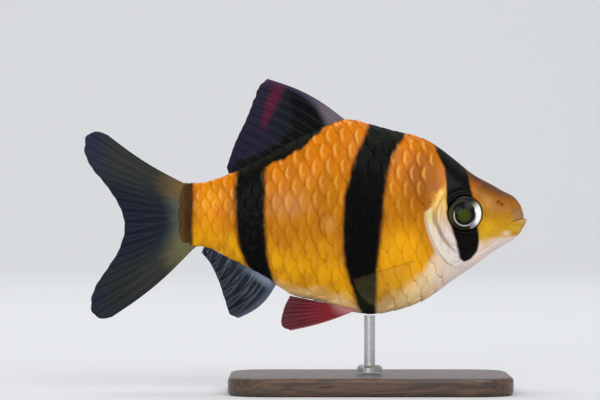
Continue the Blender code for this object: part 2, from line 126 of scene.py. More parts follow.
def ring_point(x, t):
    """Point of the body's left side at x and ring angle t.

    It lies half_width cos t (1 - EGG sin t) out and half_height sin t above the middle.
    """
    x, t = np.broadcast_arrays(x, t)
    middle, half_height, half_width = section(x)
    out = half_width * np.cos(t) * (1 - EGG * np.sin(t))
    return np.stack([x, out, middle + half_height * np.sin(t)], axis=-1)


def flank(x, z):
    """Distance of the smooth body from the midline plane at a place seen from the side."""
    middle, half_height, half_width = section(x)
    s = np.clip((z - middle) / np.maximum(half_height, 1e-9), -1, 1)
    return half_width * np.sqrt(1 - s**2) * (1 - EGG * s)


def back_height(x):
    middle, half_height, _ = section(x)
    return middle + half_height


def belly_height(x, y=0.0):
    """Height of the underside at x, a distance y out from the midline, found by halving."""
    middle, half_height, _ = section(x)
    low, high = -np.ones_like(middle), -np.full_like(middle, 0.2)
    for _ in range(30):
        guess = (low + high) / 2
        outside = flank(x, middle + guess * half_height) < y
        low, high = np.where(outside, guess, low), np.where(outside, high, guess)
    return middle + low * half_height


def ease(value, low, high):
    """Smooth step from 0 at low to 1 at high."""
    t = np.clip((value - low) / (high - low), 0, 1)
    return t * t * (3 - 2 * t)


def bell(distance, width):
    """Gaussian of a distance."""
    return np.exp(-((distance / width) ** 2))


def ridge(distance, shape):
    """A ridge along a line, or a trough: a bell of the distance to it."""
    height, at, width = shape
    return height * bell(distance - at, width)


def line_through(points):
    """A smooth line through a few places, as a function of u from 0 to 1 spaced by their distances."""
    x, z = np.array(points).T
    steps = np.hypot(np.diff(x), np.diff(z))
    knots = np.concatenate([[0], np.cumsum(steps)]) / steps.sum()
    return lambda u: (smooth(u, knots, x), smooth(u, knots, z))


def distance_to_path(x, z, path):
    """Distance from each place to a bent line, and how far along the line (0 to 1) the nearest point is."""
    best = np.full(np.shape(x), 1e9)
    along = np.zeros(np.shape(x))
    count = len(path) - 1
    for n in range(count):
        (ax, az), (bx, bz) = path[n], path[n + 1]
        dx, dz = bx - ax, bz - az
        t = np.clip(((x - ax) * dx + (z - az) * dz) / (dx * dx + dz * dz), 0, 1)
        d = np.hypot(x - ax - t * dx, z - az - t * dz)
        near = d < best
        best, along = np.where(near, d, best), np.where(near, (n + t) / count, along)
    return best, along


def curve_path(points, count=14):
    """Places along the smooth line through a few points."""
    x, z = line_through(points)(np.linspace(0, 1, count))
    return list(zip(x, z))


# Meshes

def grid_quads(rows, columns, closed):
    """Corners of the quads of a grid of points, and the row and column numbers of each corner."""
    r, c = np.meshgrid(np.arange(rows - 1), np.arange(columns if closed else columns - 1), indexing="ij")
    r, c = r.ravel(), c.ravel()
    row = np.stack([r, r, r + 1, r + 1], axis=-1)
    column = np.stack([c, c + 1, c + 1, c], axis=-1)
    return row * columns + column % columns, row, column


def sheet_quads(rows, columns):
    """Quads of a closed sheet: a grid, its copy turned over, and a strip round both."""
    top, _, _ = grid_quads(rows, columns, False)
    n = np.arange(rows * columns).reshape(rows, columns)
    rim = np.concatenate([n[0], n[1:, -1], n[-1, -2::-1], n[-2:0:-1, 0]])
    after = np.roll(rim, -1)
    strip = np.stack([rim, rim + n.size, after + n.size, after], axis=-1)
    return np.vstack([top, top[:, ::-1] + n.size, strip])


def end_fans(rows, columns):
    """Triangles that close a tube of rings at both ends, to two points numbered after the rings' own."""
    s = np.arange(columns)
    after, last, point = (s + 1) % columns, (rows - 1) * columns, np.full(columns, rows * columns)
    return np.vstack([np.stack([after, s, point], axis=-1),
                      np.stack([last + s, last + after, point + 1], axis=-1)])


def grid_normals(points):
    """Unit normals of a grid of rings of points, from the differences between neighbours."""
    round_ = (np.roll(points, -1, axis=1) - np.roll(points, 1, axis=1)) / 2
    normal = np.cross(round_, np.gradient(points, axis=0))
    return normal / np.maximum(np.linalg.norm(normal, axis=-1, keepdims=True), 1e-12)


def new_piece(name, points, quads, finish, replaced=(), triangles=None, maps=None, values=None):
    """A closed piece from points in millimetres, with its maps and point values, riding on the fish."""
    corners, sizes = quads.ravel(), np.full(len(quads), 4)
    if triangles is not None:
        corners = np.concatenate([corners, triangles.ravel()])
        sizes = np.concatenate([sizes, np.full(len(triangles), 3)])
    mesh = bpy.data.meshes.new(name)
    mesh.vertices.add(len(points))
    mesh.vertices.foreach_set("co", (np.asarray(points) * MM).astype(np.float32).ravel())
    mesh.loops.add(len(corners))
    mesh.loops.foreach_set("vertex_index", corners.astype(np.int32))
    mesh.polygons.add(len(sizes))
    mesh.polygons.foreach_set("loop_start", (np.cumsum(sizes) - sizes).astype(np.int32))
    mesh.polygons.foreach_set("use_smooth", np.ones(len(sizes), bool))
    mesh.update(calc_edges=True)
    for title, places in (maps or {}).items():
        if len(places) == len(points):
            places = places[corners]
        mesh.uv_layers.new(name=title).data.foreach_set("uv", places.astype(np.float32).ravel())
    for title, numbers in (values or {}).items():
        mesh.attributes.new(title, "FLOAT", "POINT").data.foreach_set("value", numbers.astype(np.float32))
    mesh.materials.append(finish)
    piece = bpy.data.objects.new(name, mesh)
    bpy.context.scene.collection.objects.link(piece)
    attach(piece, "root")
    if replaced:
        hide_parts(*replaced)


# Skin

def cover_distance(x, z):
    """Distance to the gill cover's tilted oval, negative inside, and how far to its rear a place is."""
    lean = x - (COVER_X - COVER_LEAN * (z - COVER_Z))
    rise = z - COVER_Z
    r = np.sqrt((lean / COVER_HALF_WIDTH) ** 2 + (rise / COVER_HALF_HEIGHT) ** 2) + 1e-9
    slope_x = lean / COVER_HALF_WIDTH**2 / r
    slope_z = (rise / COVER_HALF_HEIGHT**2 + COVER_LEAN * lean / COVER_HALF_WIDTH**2) / r
    return (r - 1) / (np.hypot(slope_x, slope_z) + 1e-6), -lean / COVER_HALF_WIDTH


def coat_share(x, z):
    """1 where the scales lie, 0 on the head, with a soft step along the head's rear limit."""
    return ease(np.interp(z, *HEAD_LIMIT) + 0.2 - x, 0, 0.5)


UPPER_LIP = curve_path([
    (29.6, 24.85), (28.95, 24.65), (28.2, 24.25), (27.6, 23.7), (27.25, 23.1), (27.2, 22.4),
])
LOWER_LIP = curve_path([(29.95, 21.9), (29.2, 22.1), (28.3, 22.35), (27.6, 22.45), (27.2, 22.4)])
MOUTH_LINE = curve_path(MOUTH)
CHEEK_CREASE = curve_path([
    (19.0, 26.8), (17.9, 24.6), (18.1, 22.2), (19.3, 20.3), (21.3, 19.1), (23.6, 18.9),
])

# Creases of the cheek, the lower gill plates, the throat and the chin: path, depth and width
CREASES = (
    (CHEEK_CREASE, 0.10, 0.13),
    (curve_path([(17.4, 21.3), (18.4, 19.7), (19.8, 18.4), (21.3, 17.8)]), 0.07, 0.11),
    (curve_path([(18.6, 16.6), (20.6, 17.5), (23.0, 18.6), (25.2, 19.9), (26.6, 21.2)]), 0.13, 0.14),
    (curve_path([(26.0, 18.9), (27.3, 19.9), (28.4, 20.9)]), 0.05, 0.15),
)

# Soft swellings, cheek below the eye and brow, and a dip in the snout: height, centre, stretch and width
SWELLINGS = (
    (0.12, (24.6, 21.6), (1.2, 1.0), 1.5),
    (0.10, (20.8, 27.9), (1.6, 1.0), 0.9),
    (-0.10, (28.55, 25.5), (1.0, 0.6), 0.55),
)


def head_relief(x, z):
    """How far the head's skin stands off the smooth body: socket, lips, nostrils, gill cover and creases."""
    # Eye socket with its raised rim and the soft trough round it
    r = np.hypot(x - EYE_X, z - EYE_Z)
    height = ridge(r, EYE_RIM) + ridge(r, EYE_TROUGH) - SOCKET_DEPTH * (1 - ease(r, *SOCKET_WALL))
    # Gill cover: a plate that rises towards its free rear edge, with a groove behind it
    d, rear = cover_distance(x, z)
    free = ease(rear, -0.15, 0.55) * ease(29.2 - z, 0, 2.2)
    height += COVER_RISE * free * ease(-d, -0.07, 0.07) * np.exp(-np.clip(-d, 0, None) / COVER_FADE)
    height += free * ridge(d, COVER_GROOVE)
    # Creases fade towards both ends; the cheek's has a low ridge beside it
    for path, depth, width in CREASES:
        d, along = distance_to_path(x, z, path)
        fade = np.sin(np.pi * np.clip(along, 0.02, 0.98))
        height -= depth * bell(d, width) * fade**0.5
        if path is CHEEK_CREASE:
            height += ridge(d, CHEEK_RIDGE) * fade
    # Mouth: lips stand out between their creases and the line of the mouth
    upper, u_along = distance_to_path(x, z, UPPER_LIP)
    lower, l_along = distance_to_path(x, z, LOWER_LIP)
    line, _ = distance_to_path(x, z, MOUTH_LINE)
    height += ridge(upper, UPPER_LIP_CREASE) * ease(u_along, 0.0, 0.3)
    height += ridge(lower, LOWER_LIP_CREASE) * ease(l_along, 0.0, 0.2) * ease(1.0 - l_along, 0, 0.25)
    height += ridge(line, LIP_SWELL) * ease(x, 27.5, 28.4) + ridge(line, MOUTH_CUT) * ease(x, 27.7, 28.2)
    # Wrinkles of the upper lip
    wave = np.sin((x - 0.35 * (z - 24.0)) * 16.0)
    height += WRINKLE * wave * bell(x - WRINKLE_X, WRINKLE_REACH) * bell(z - WRINKLE_Z, WRINKLE_REACH)
    # Nostrils: two pits, the front one behind a small raised flap
    for nx, nz, radius in NOSTRILS:
        d = np.hypot(x - nx, z - nz)
        height += ridge(d - radius, NOSTRIL_RIM) - NOSTRIL_DEPTH * (1 - ease(d, radius * 0.5, radius + 0.05))
    for amount, (cx, cz), (sx, sz), width in SWELLINGS:
        height += amount * bell(np.hypot((x - cx) / sx, (z - cz) / sz), width)
    return height


def snout_shift(x, z):
    """How far back the snout above the mouth is moved, so that the lower lip stands ahead."""
    line = np.interp(x, *zip(*MOUTH[::-1]))
    return UPPER_LIP_BACK * ease(z - line, -0.06, 0.16) * np.clip((x - 28.0) / 2, 0, 1) ** 1.5


def skin_rings():
    """Places of the rings: wide under the scales, close on the head, and closing at both ends."""
    def quarter(count):
        return np.sin(np.linspace(0, math.pi / 2, count)[:-1])

    return np.concatenate([
        TAIL_ROOT - (TAIL_ROOT - TAIL_END) * quarter(TAIL_RINGS)[:0:-1],
        np.linspace(TAIL_ROOT, HEAD_RINGS_FROM, BODY_RINGS)[:-1],
        np.linspace(HEAD_RINGS_FROM, SNOUT_ROUNDING, HEAD_RINGS)[:-1],
        SNOUT_ROUNDING + (SNOUT_TIP - SNOUT_ROUNDING) * quarter(TIP_RINGS),
    ])


def skin(finish):
    """The whole flesh as one loft.

    Egg-shaped rings, half_width cos t (1 - EGG sin t) across and half_height sin t up, closer set on
    the flanks than at the ridge of the back, moved along their normals by the head's relief, and sunk
    by the coat's depth where the scales lie. A point closes each end.
    """
    rings, sides = skin_rings(), RING_SIDES
    even = np.linspace(0, 2 * math.pi, sides, endpoint=False)
    points = ring_point(rings[:, None], even - SIDES_CROWDING * np.sin(2 * even))
    x, _, z = np.moveaxis(points, -1, 0)
    lift = head_relief(x, z) * ease(x, *RELIEF_FROM) - COAT_DEPTH * coat_share(x, z)
    points = points + grid_normals(points) * (lift * ease(x, TAIL_ROOT - 0.5, TAIL_ROOT))[..., None]
    quads, row, column = grid_quads(len(rings), sides, True)
    ends = [(TAIL_END, 0, section(TAIL_END)[0]), (SNOUT_TIP - 0.03, 0, section(SNOUT_TIP)[0])]
    points = np.vstack([points.reshape(-1, 3), ends])
    points[:, 0] -= snout_shift(points[:, 0], points[:, 2])
    # The map for baking: along and round the body, the fans' points halfway between two sides
    along = (rings - TAIL_END) / (SNOUT_TIP - TAIL_END)
    unwrap = [np.stack([along[row], column / sides], axis=-1).reshape(-1, 2)]
    for fan in (((along[0], 1), (along[0], 0), (0, 0.5)), ((along[-1], 0), (along[-1], 1), (1, 0.5))):
        corners = [np.stack([np.full(sides, u), (np.arange(sides) + k) / sides], axis=-1) for u, k in fan]
        unwrap.append(np.stack(corners, axis=1).reshape(-1, 2))
    replaced = ("head", "lower_jaw", "torso", "tail_peduncle", "gill_cover_right", "gill_cover_left")
    new_piece("skin", points, quads, finish, replaced, end_fans(len(rings), sides),
              {"OFBake": 0.01 + 0.98 * np.concatenate(unwrap)})


# Coat of scales

ROOTS_FROM, ROOTS_TO, ROWS_EACH_WAY = -16.4, 21, 8  # rows are counted up and down from mid-flank
FLANK_SEEDS = (3, 5)
GIRTH_X = np.linspace(TAIL_END + 0.1, SNOUT_TIP - 0.5, 270)
GIRTH_T = np.linspace(-math.pi / 2, math.pi / 2, 361)
GIRTH_SHARE = np.linspace(-1, 1, 241)
PITCH_X = np.array([-16.5, -13.0, -9.0, -6.0, 0.0, 9.0, 18.0, 21.0])
ROW_PITCH = np.array([1.28, 1.38, 1.62, 1.80, 2.12, 2.24, 2.05, 1.80])
STEP_LENGTH = np.array([1.30, 1.42, 1.58, 1.70, 1.85, 1.88, 1.75, 1.55])

# Rows along the midline: first and last root, back (1) or belly (-1), seed and step
MIDLINE_ROWS = (
    (6.6, 18.6, 1, 7, 1.8), (-15.6, -11.2, 1, 8, 1.35),
    (-2.6, 18.8, -1, 9, 1.8), (-15.9, -14.2, -1, 10, 1.35),
)


def girth_tables():
    """At each place along the body: the arcs from mid-flank to belly and back, and each share's angle."""
    steps = np.linalg.norm(np.diff(ring_point(GIRTH_X[:, None], GIRTH_T), axis=1), axis=-1)
    arc = np.concatenate([np.zeros((len(GIRTH_X), 1)), np.cumsum(steps, axis=1)], axis=1)
    arc -= arc[:, len(GIRTH_T) // 2][:, None]
    down, up = -arc[:, 0], arc[:, -1]
    angle = np.array([
        np.interp(GIRTH_SHARE * np.where(GIRTH_SHARE < 0, down[i], up[i]), arc[i], GIRTH_T)
        for i in range(len(GIRTH_X))
    ])
    return down, up, angle


GIRTH_DOWN, GIRTH_UP, GIRTH_ANGLE = girth_tables()


def girth_limits(x):
    """The arcs from mid-flank to belly and to back at x."""
    return np.interp(x, GIRTH_X, GIRTH_DOWN), np.interp(x, GIRTH_X, GIRTH_UP)


def angle_at(x, girth):
    """Ring angle at x, a girth distance above mid-flank, read between the rows and columns of the table."""
    down, up = girth_limits(x)
    share = np.clip(np.where(girth < 0, girth / down, girth / up), -1, 1)
    r = np.clip((x - GIRTH_X[0]) / (GIRTH_X[1] - GIRTH_X[0]), 0, len(GIRTH_X) - 1.001)
    c = np.clip((share + 1) / (GIRTH_SHARE[1] - GIRTH_SHARE[0]), 0, len(GIRTH_SHARE) - 1.001)
    i, j = r.astype(int), c.astype(int)
    a, b = r - i, c - j
    low, high = (GIRTH_ANGLE[k, j] * (1 - b) + GIRTH_ANGLE[k, j + 1] * b for k in (i, i + 1))
    return low * (1 - a) + high * a


def on_body(x, t):
    """Point and outward normal of the smooth body's left side at x and ring angle t."""
    step = 0.02
    along = ring_point(x + step, t) - ring_point(x - step, t)
    up = ring_point(x, t + step) - ring_point(x, t - step)
    normal = np.cross(up, along)
    return ring_point(x, t), normal / np.linalg.norm(normal, axis=-1, keepdims=True)


def scale_roots():
    """Root places and rows of the scales of one flank: odd rows start half a step behind."""
    x = np.linspace(ROOTS_FROM, ROOTS_TO, 600)
    count = np.concatenate([[0], np.cumsum(np.diff(x) / np.interp(x[1:], PITCH_X, STEP_LENGTH))])
    roots, rows = [], []
    for row in range(-ROWS_EACH_WAY, ROWS_EACH_WAY + 1):
        n = np.arange(0, int(count[-1]) + 1) + 0.5 * (row % 2) + 0.2
        place = np.interp(n, count, x)
        girth = row * np.interp(place, PITCH_X, ROW_PITCH)
        down, up = girth_limits(place)
        inside = (girth < up + 0.2) & (girth > -down - 0.2) & (n < count[-1])
        place, girth = place[inside], girth[inside]
        z = ring_point(place, angle_at(place, girth))[..., 2]
        kept = place[place < np.interp(z, *HEAD_LIMIT) + UNDER_HEAD]
        roots.append(kept)
        rows.append(np.full(len(kept), float(row)))
    return np.concatenate(roots), np.concatenate(rows)


def scale_disc():
    """A square grid drawn out to a disc: u sqrt(1 - v v / 2) rearward and v sqrt(1 - u u / 2) across."""
    steps = np.linspace(-1, 1, SCALE_GRID + 1)
    u, v = (grid.ravel()[None, :] for grid in np.meshgrid(steps, steps, indexing="ij"))
    return u * np.sqrt(1 - v**2 / 2), v * np.sqrt(1 - u**2 / 2)


def soft_limit(girth, limit, margin=0.55):
    """Lets a girth distance grow as it is up to a margin short of the limit, then only towards it."""
    over = np.clip(girth - (limit - margin), 0, None)
    return np.where(over > 0, limit - margin * np.exp(-over / margin), girth)


def lay_scales(roots, rows, seed, median=0):
    """Points of the scales on the left flank, or over the midline of back (+1) or belly (-1).

    Each scale runs rearward from under the one ahead of it: its height over the smooth body grows
    from below the skin at its front to its free edge, with a low dome over its middle.
    """
    draw = np.random.default_rng(seed)

    def vary(amount):
        return amount * draw.standard_normal((len(roots), 1))

    def ripple(amount, turns):
        return amount * np.sin(across * turns + draw.uniform(0, 6, (len(roots), 1)))

    back, across = scale_disc()
    size = (np.interp(roots, PITCH_X, STEP_LENGTH) / FULL_STEP)[:, None] * (1 + vary(0.05))
    wave = ripple(0.03, 7) + ripple(0.02, 13)
    rearward = np.where(back > 0, back * SCALE_REAR * (1 + wave), back * SCALE_FRONT) * size
    x = roots[:, None] + vary(0.04) - rearward
    x = -soft_limit(-x, -TAIL_END - 0.2, 0.5)
    spread = SCALE_SPREAD * across * (1 + vary(0.02))
    row_pitch = np.interp(x, PITCH_X, ROW_PITCH)
    down, up = girth_limits(x)
    side = np.ones_like(x)
    if median:
        off = spread * row_pitch * MIDLINE_SPREAD
        side = np.where(off < 0, -1.0, 1.0)
        girth = up - np.abs(off) if median > 0 else np.abs(off) - down
    else:
        girth = (rows[:, None] + spread) * row_pitch
        girth = np.where(girth > 0, soft_limit(girth, up - RIDGE_GAP), -soft_limit(-girth, down - RIDGE_GAP))
    point, normal = on_body(x, angle_at(x, girth))
    point[..., 1] *= side
    normal[..., 1] *= side
    lift = SCALE_BASE + SCALE_RISE * (back + 1) / 2 + SCALE_DOME * (1 - back**2 - across**2)
    lift = lift + vary(0.012) + vary(0.02) * across
    lift = (lift + (MIDLINE_RISE if median else 0.0)) * np.clip(size, 0.75, 1.1)
    thin = SCALE_THICKNESS * (1.0 - 0.55 * ease(np.hypot(back, across), 0.75, 1.0))
    top = point + normal * lift[..., None]
    bottom = point + normal * (lift - thin)[..., None]
    points = np.concatenate([top, bottom], axis=1)
    # Maps: a small patch of the bake map for each scale, and the place on the scale itself
    share = (roots - GIRTH_X[0]) / BAKE_LENGTH
    height = girth[:, girth.shape[1] // 2] / BAKE_GIRTH + 0.5
    centre = 0.02 + 0.96 * np.stack([share, height], axis=-1)[:, None, :]
    local = np.tile(np.stack([-back, across], axis=-1), (len(roots), 2, 1))
    tone = np.repeat(draw.uniform(0, 1, (len(roots), 1)), points.shape[1], axis=1)
    return points, centre + BAKE_PATCH / 2 * local, local * 0.5 + 0.5, tone


def coat(name, parts, mirror, finish):
    """Joins laid scales into one piece, turned to its side of the fish."""
    points, bake, own, tone = (np.concatenate(v) for v in zip(*parts))
    faces = sheet_quads(SCALE_GRID + 1, SCALE_GRID + 1)
    if mirror > 0:
        faces = faces[:, ::-1]
    quads = faces[None] + (np.arange(len(points)) * points.shape[1])[:, None, None]
    new_piece(name, (points * [1, mirror, 1]).reshape(-1, 3), quads.reshape(-1, 4), finish,
              maps={"OFBake": bake.reshape(-1, 2), "ScalePlace": own.reshape(-1, 2)},
              values={"tone": tone.reshape(-1)})


def coats(finish):
    roots, rows = scale_roots()
    for (word, mirror), seed in zip(BOTH_SIDES, FLANK_SEEDS):
        coat("scales_" + word, [lay_scales(roots, rows, seed)], mirror, finish)
    parts = []
    for first, last, median, seed, step in MIDLINE_ROWS:
        along = np.arange(first, last, step)
        parts.append(lay_scales(along, 0 * along, seed, median))
    coat("scales_midline", parts, -1, finish)


# Fins

FIN_SINK = 0.06  # share of its length by which a fin starts below its base line
FIN_NOTCH = 0.010  # depth of the margin's notches between rays, as a share of the length

# Rays fork, and their halves fork again: how far the branches part, in ray spacings, and where along the fin
FORK, FORK_FROM, FORK_TO = 0.20, 0.36, 0.85
TWIG, TWIG_FROM, TWIG_TO = 0.095, 0.68, 1.0

# Fins: rays, grid, thickness of root, edge and a ray's ridge, bow of both edges, wave and seed
FINS = {
    "dorsal": (12, (232, 72), (0.62, 0.12, 0.11), (0.7, 0.0), 0.10, 11),
    "anal": (9, (176, 60), (0.62, 0.12, 0.11), (0.7, 0.0), 0.10, 12),
    "caudal": (20, (380, 84), (1.25, 0.12, 0.11), (-0.4, -0.5), 0.14, 13),
    "pectoral": (13, (196, 56), (0.50, 0.07, 0.06), (0.0, 0.0), 0.05, 14),
    "pelvic": (9, (140, 56), (0.62, 0.11, 0.10), (0.3, 0.0), 0.10, 15),
}

# Margins of the fins, from their first ray to their last
DORSAL_MARGIN = [(-5.0, 42.28), (-5.9, 41.6), (-6.9, 39.4), (-8.0, 36.6), (-9.4, 33.6), (-10.5, 30.3)]
ANAL_MARGIN = [(-8.9, 9.95), (-9.9, 10.3), (-10.7, 12.2), (-11.7, 15.2), (-12.9, 17.6), (-13.9, 18.8)]
PELVIC_MARGIN = [(-1.9, 8.37), (-3.0, 8.9), (-2.9, 11.0), (-2.0, 12.9)]
CAUDAL_MARGIN = [
    (-26.6, 34.7), (-28.1, 35.2), (-29.3, 34.8), (-29.85, 33.2), (-29.4, 31.3), (-26.7, 27.7),
    (-24.85, 24.6), (-24.35, 22.5), (-25.05, 19.4), (-27.2, 15.9), (-28.5, 13.8), (-28.95, 11.9),
    (-28.4, 10.2), (-27.2, 9.82), (-26.0, 10.1),
]
PECTORAL_X, PECTORAL_Z = 15.4, 17.0
PECTORAL_OUT = 0.80  # how far the pectoral fins stand off the flank
PELVIC_OUT = 0.75  # distance of the pelvic fins' base lines from the midline


def ray_profile(u, v, rays):
    """Height of the rays, 0 to 1: a ridge on each, which forks at a third of its length and near its end."""
    c = u * (rays - 1)
    split = np.round(c) >= 0.5
    d = np.abs(np.abs(c - np.round(c)) - FORK * ease(v, FORK_FROM, FORK_TO) * split)
    return bell(np.abs(d - TWIG * ease(v, TWIG_FROM, TWIG_TO) * split), 0.105 - 0.03 * v)


def fin(name, base, margin, side, finish, replaced, ends=8):
    """A thin sheet between its base line and its outer margin, both functions of u from 0 to 1.

    A point is base + (margin - base) v, swung outward by bow sin(pi v) (1 - u)^2 at its first edge
    and by bow sin(pi v) u^2 at its last. It starts below the base by FIN_SINK of its length. Between
    rays the margin is notched. Thickness is laid off along Y on both faces: root to edge, plus the
    rays' ridges; the root thins towards both ends of the base, the faster the lower ends is. Side
    gives the middle surface's distance from the midline plane.
    """
    rays, (columns, rows), (root, edge, ray_height), bow, wave, seed = FINS[name.split("_")[0]]
    draw = np.random.default_rng(seed)
    u = np.linspace(0, 1, columns)[:, None]
    v = np.linspace(-FIN_SINK, 1, rows)[None, :]
    above = np.clip(v, 0, 1)
    (bx, bz), (mx, mz) = base(u), margin(u)
    gap = np.abs(u * (rays - 1) - np.round(u * (rays - 1))) * 2
    ragged = np.interp(u, np.linspace(0, 1, rays * 2), draw.uniform(0, 1, rays * 2))
    cut = FIN_NOTCH * (gap**1.5 + 0.8 * ragged) * ease(u, 0.0, 0.08) * ease(1 - u, -0.02, 0.06)
    reach = v * (1 - cut * above**2)
    dx, dz = mx - bx, mz - bz
    length = np.hypot(dx, dz) + 1e-12
    swell = np.sin(math.pi * above) * (bow[0] * (1 - u) ** 2 - bow[1] * u**2)
    x = bx + dx * reach + swell * np.abs(dz) / length
    z = bz + dz * reach - swell * np.sign(dz) * dx / length
    ripple = wave * ease(v, 0.15, 1.0) * np.sin(u * 7.5 + v * 2.2 + seed) * (length / 9)
    y = side(x, z, above) + ripple
    full = 0.2 + 0.8 * np.sqrt(1 - np.clip(np.abs(2 * u - 1), 0, 0.999) ** ends)
    web = edge + (root * full - edge) * (1 - ease(v, -0.05, 0.62)) ** 1.4
    ray = ray_profile(u, above, rays) + 0.8 * bell(u * (rays - 1), 0.55)
    half = (web + ray_height * ray * (1 - 0.45 * above)) / 2 * (1 - 0.75 * ease(v, 0.985, 1.0))
    near, far = (np.stack([x, y + way * half, z], axis=-1).reshape(-1, 3) for way in (-1, 1))
    quads = sheet_quads(columns, rows)
    a, b, c = (near[quads[:(columns - 1) * (rows - 1), corner]] for corner in range(3))
    if np.cross(b - a, c - a)[:, 1].mean() >= 0:
        quads = quads[:, ::-1]
    place = np.stack(np.broadcast_arrays(u, above), axis=-1).reshape(-1, 2)
    new_piece(name, np.vstack([near, far]), quads, finish, replaced,
              maps={"RayPlace": np.vstack([place, place])})


def base_line(first, length, height, gap):
    """Base of a fin: x runs back from first over a length, and z lies a gap above a height of the body."""
    return lambda u: (first - length * u, height(first - length * u) + gap)


def fins(paints):
    """All fins, on the same base lines and margins as the solids."""
    def midline(x, z, v):
        return 0 * x

    def caudal_root(u):
        return -15.9 - 0.35 * np.sin(np.pi * u) + 0.7 * u**6, 28.0 - 8.9 * u

    def pectoral_root(u):
        return PECTORAL_X + 0.2 - 0.3 * u, PECTORAL_Z + 1.1 - 2.2 * u

    def pectoral_margin(u):
        angle = np.radians(197 + 30 * u)
        reach = 9.55 - 3.4 * u**2
        x, z = pectoral_root(u)
        return x + reach * np.cos(angle), z + reach * np.sin(angle)

    fin("dorsal", base_line(5.5, 15.7, back_height, 0.05), line_through(DORSAL_MARGIN), midline,
        paints["dorsal"], ("dorsal_fin",))
    fin("anal", base_line(-3.8, 9.8, belly_height, -0.05), line_through(ANAL_MARGIN), midline,
        paints["anal"], ("anal_fin",))
    fin("caudal", caudal_root, line_through(CAUDAL_MARGIN), midline,
        paints["caudal"], ("caudal_lobe_upper", "caudal_lobe_lower"), ends=2)
    pelvic_root = base_line(6.9, 1.9, lambda x: belly_height(x, PELVIC_OUT), -0.02)
    shoulder_out = float(flank(PECTORAL_X, PECTORAL_Z)) + PECTORAL_OUT
    for word, mirror in BOTH_SIDES:
        def shoulder(x, z, v):
            out = shoulder_out + 0.05 * (PECTORAL_X - x) + 0.24 * (z - PECTORAL_Z)
            return mirror * (out - 1.35 * (1 - ease(v, -0.02, 0.26)))

        def under(x, z, v):
            return mirror * (1.15 + 0.17 * (5.0 - np.minimum(x, 5.0)))

        fin("pectoral_" + word, pectoral_root, pectoral_margin, shoulder,
            paints["pectoral"], ("pectoral_fin_" + word,))
        fin("pelvic_" + word, pelvic_root, line_through(PELVIC_MARGIN), under,
            paints["pelvic"], ("pelvic_fin_" + word,))


# Eyes

EYE_RINGS, EYE_SIDES = 50, 96


def eyes(finish):
    """Each eyeball is a turned profile: EYE_RADIUS sin q from its axis and EYE_DEPTH cos q outward."""
    q = np.linspace(0, math.pi, EYE_RINGS)[1:-1][:, None]
    a = np.linspace(0, 2 * math.pi, EYE_SIDES, endpoint=False)[None, :]
    x = EYE_X + EYE_RADIUS * np.sin(q) * np.cos(a)
    z = EYE_Z + EYE_RADIUS * np.sin(q) * np.sin(a)
    middle = float(flank(EYE_X, EYE_Z)) - EYE_SUNK
    y = middle + EYE_DEPTH * (1 + EYE_BULGE * bell(q, 0.7)) * np.cos(q) + 0 * a
    points = np.vstack([
        np.stack([x, y, z], axis=-1).reshape(-1, 3),
        [(EYE_X, middle + EYE_DEPTH * (1 + EYE_BULGE), EYE_Z), (EYE_X, middle - EYE_DEPTH, EYE_Z)],
    ])
    quads, caps = grid_quads(len(q), EYE_SIDES, True)[0], end_fans(len(q), EYE_SIDES)
    for word, mirror in BOTH_SIDES:
        new_piece("eyeball_" + word, points * [1, mirror, 1], quads[:, ::mirror], finish,
                  ("eye_" + word,), caps[:, ::mirror])


# Paint: node helpers

def paint(tint):
    """A colour given as seen on a screen, 0 to 255, turned to the shader's linear values."""
    seen = np.array(tint) / 255
    linear = np.where(seen <= 0.04045, seen / 12.92, ((seen + 0.055) / 1.055) ** 2.4)
    return (*(float(v) for v in linear), 1.0)


class Value:
    """What a node gives out. Arithmetic with it adds the node that does the sum."""

    def __init__(self, w, socket):
        self.w, self.socket = w, socket

    def __add__(self, other):
        return self.w.math("ADD", self, other)

    def __radd__(self, other):
        return self.w.math("ADD", other, self)

    def __sub__(self, other):
        return self.w.math("SUBTRACT", self, other)

    def __rsub__(self, other):
        return self.w.math("SUBTRACT", other, self)

    def __mul__(self, other):
        return self.w.math("MULTIPLY", self, other)

    def __truediv__(self, other):
        return self.w.math("DIVIDE", self, other)

    def __abs__(self):
        return self.w.math("ABSOLUTE", self)

    def step(self, low, high, start=0.0, end=1.0):
        """Smooth step from start at low to end at high; low may lie above high."""
        return self.w.value("ShaderNodeMapRange", {0: self, 1: low, 2: high, 3: start, 4: end},
                            interpolation_type="SMOOTHSTEP")


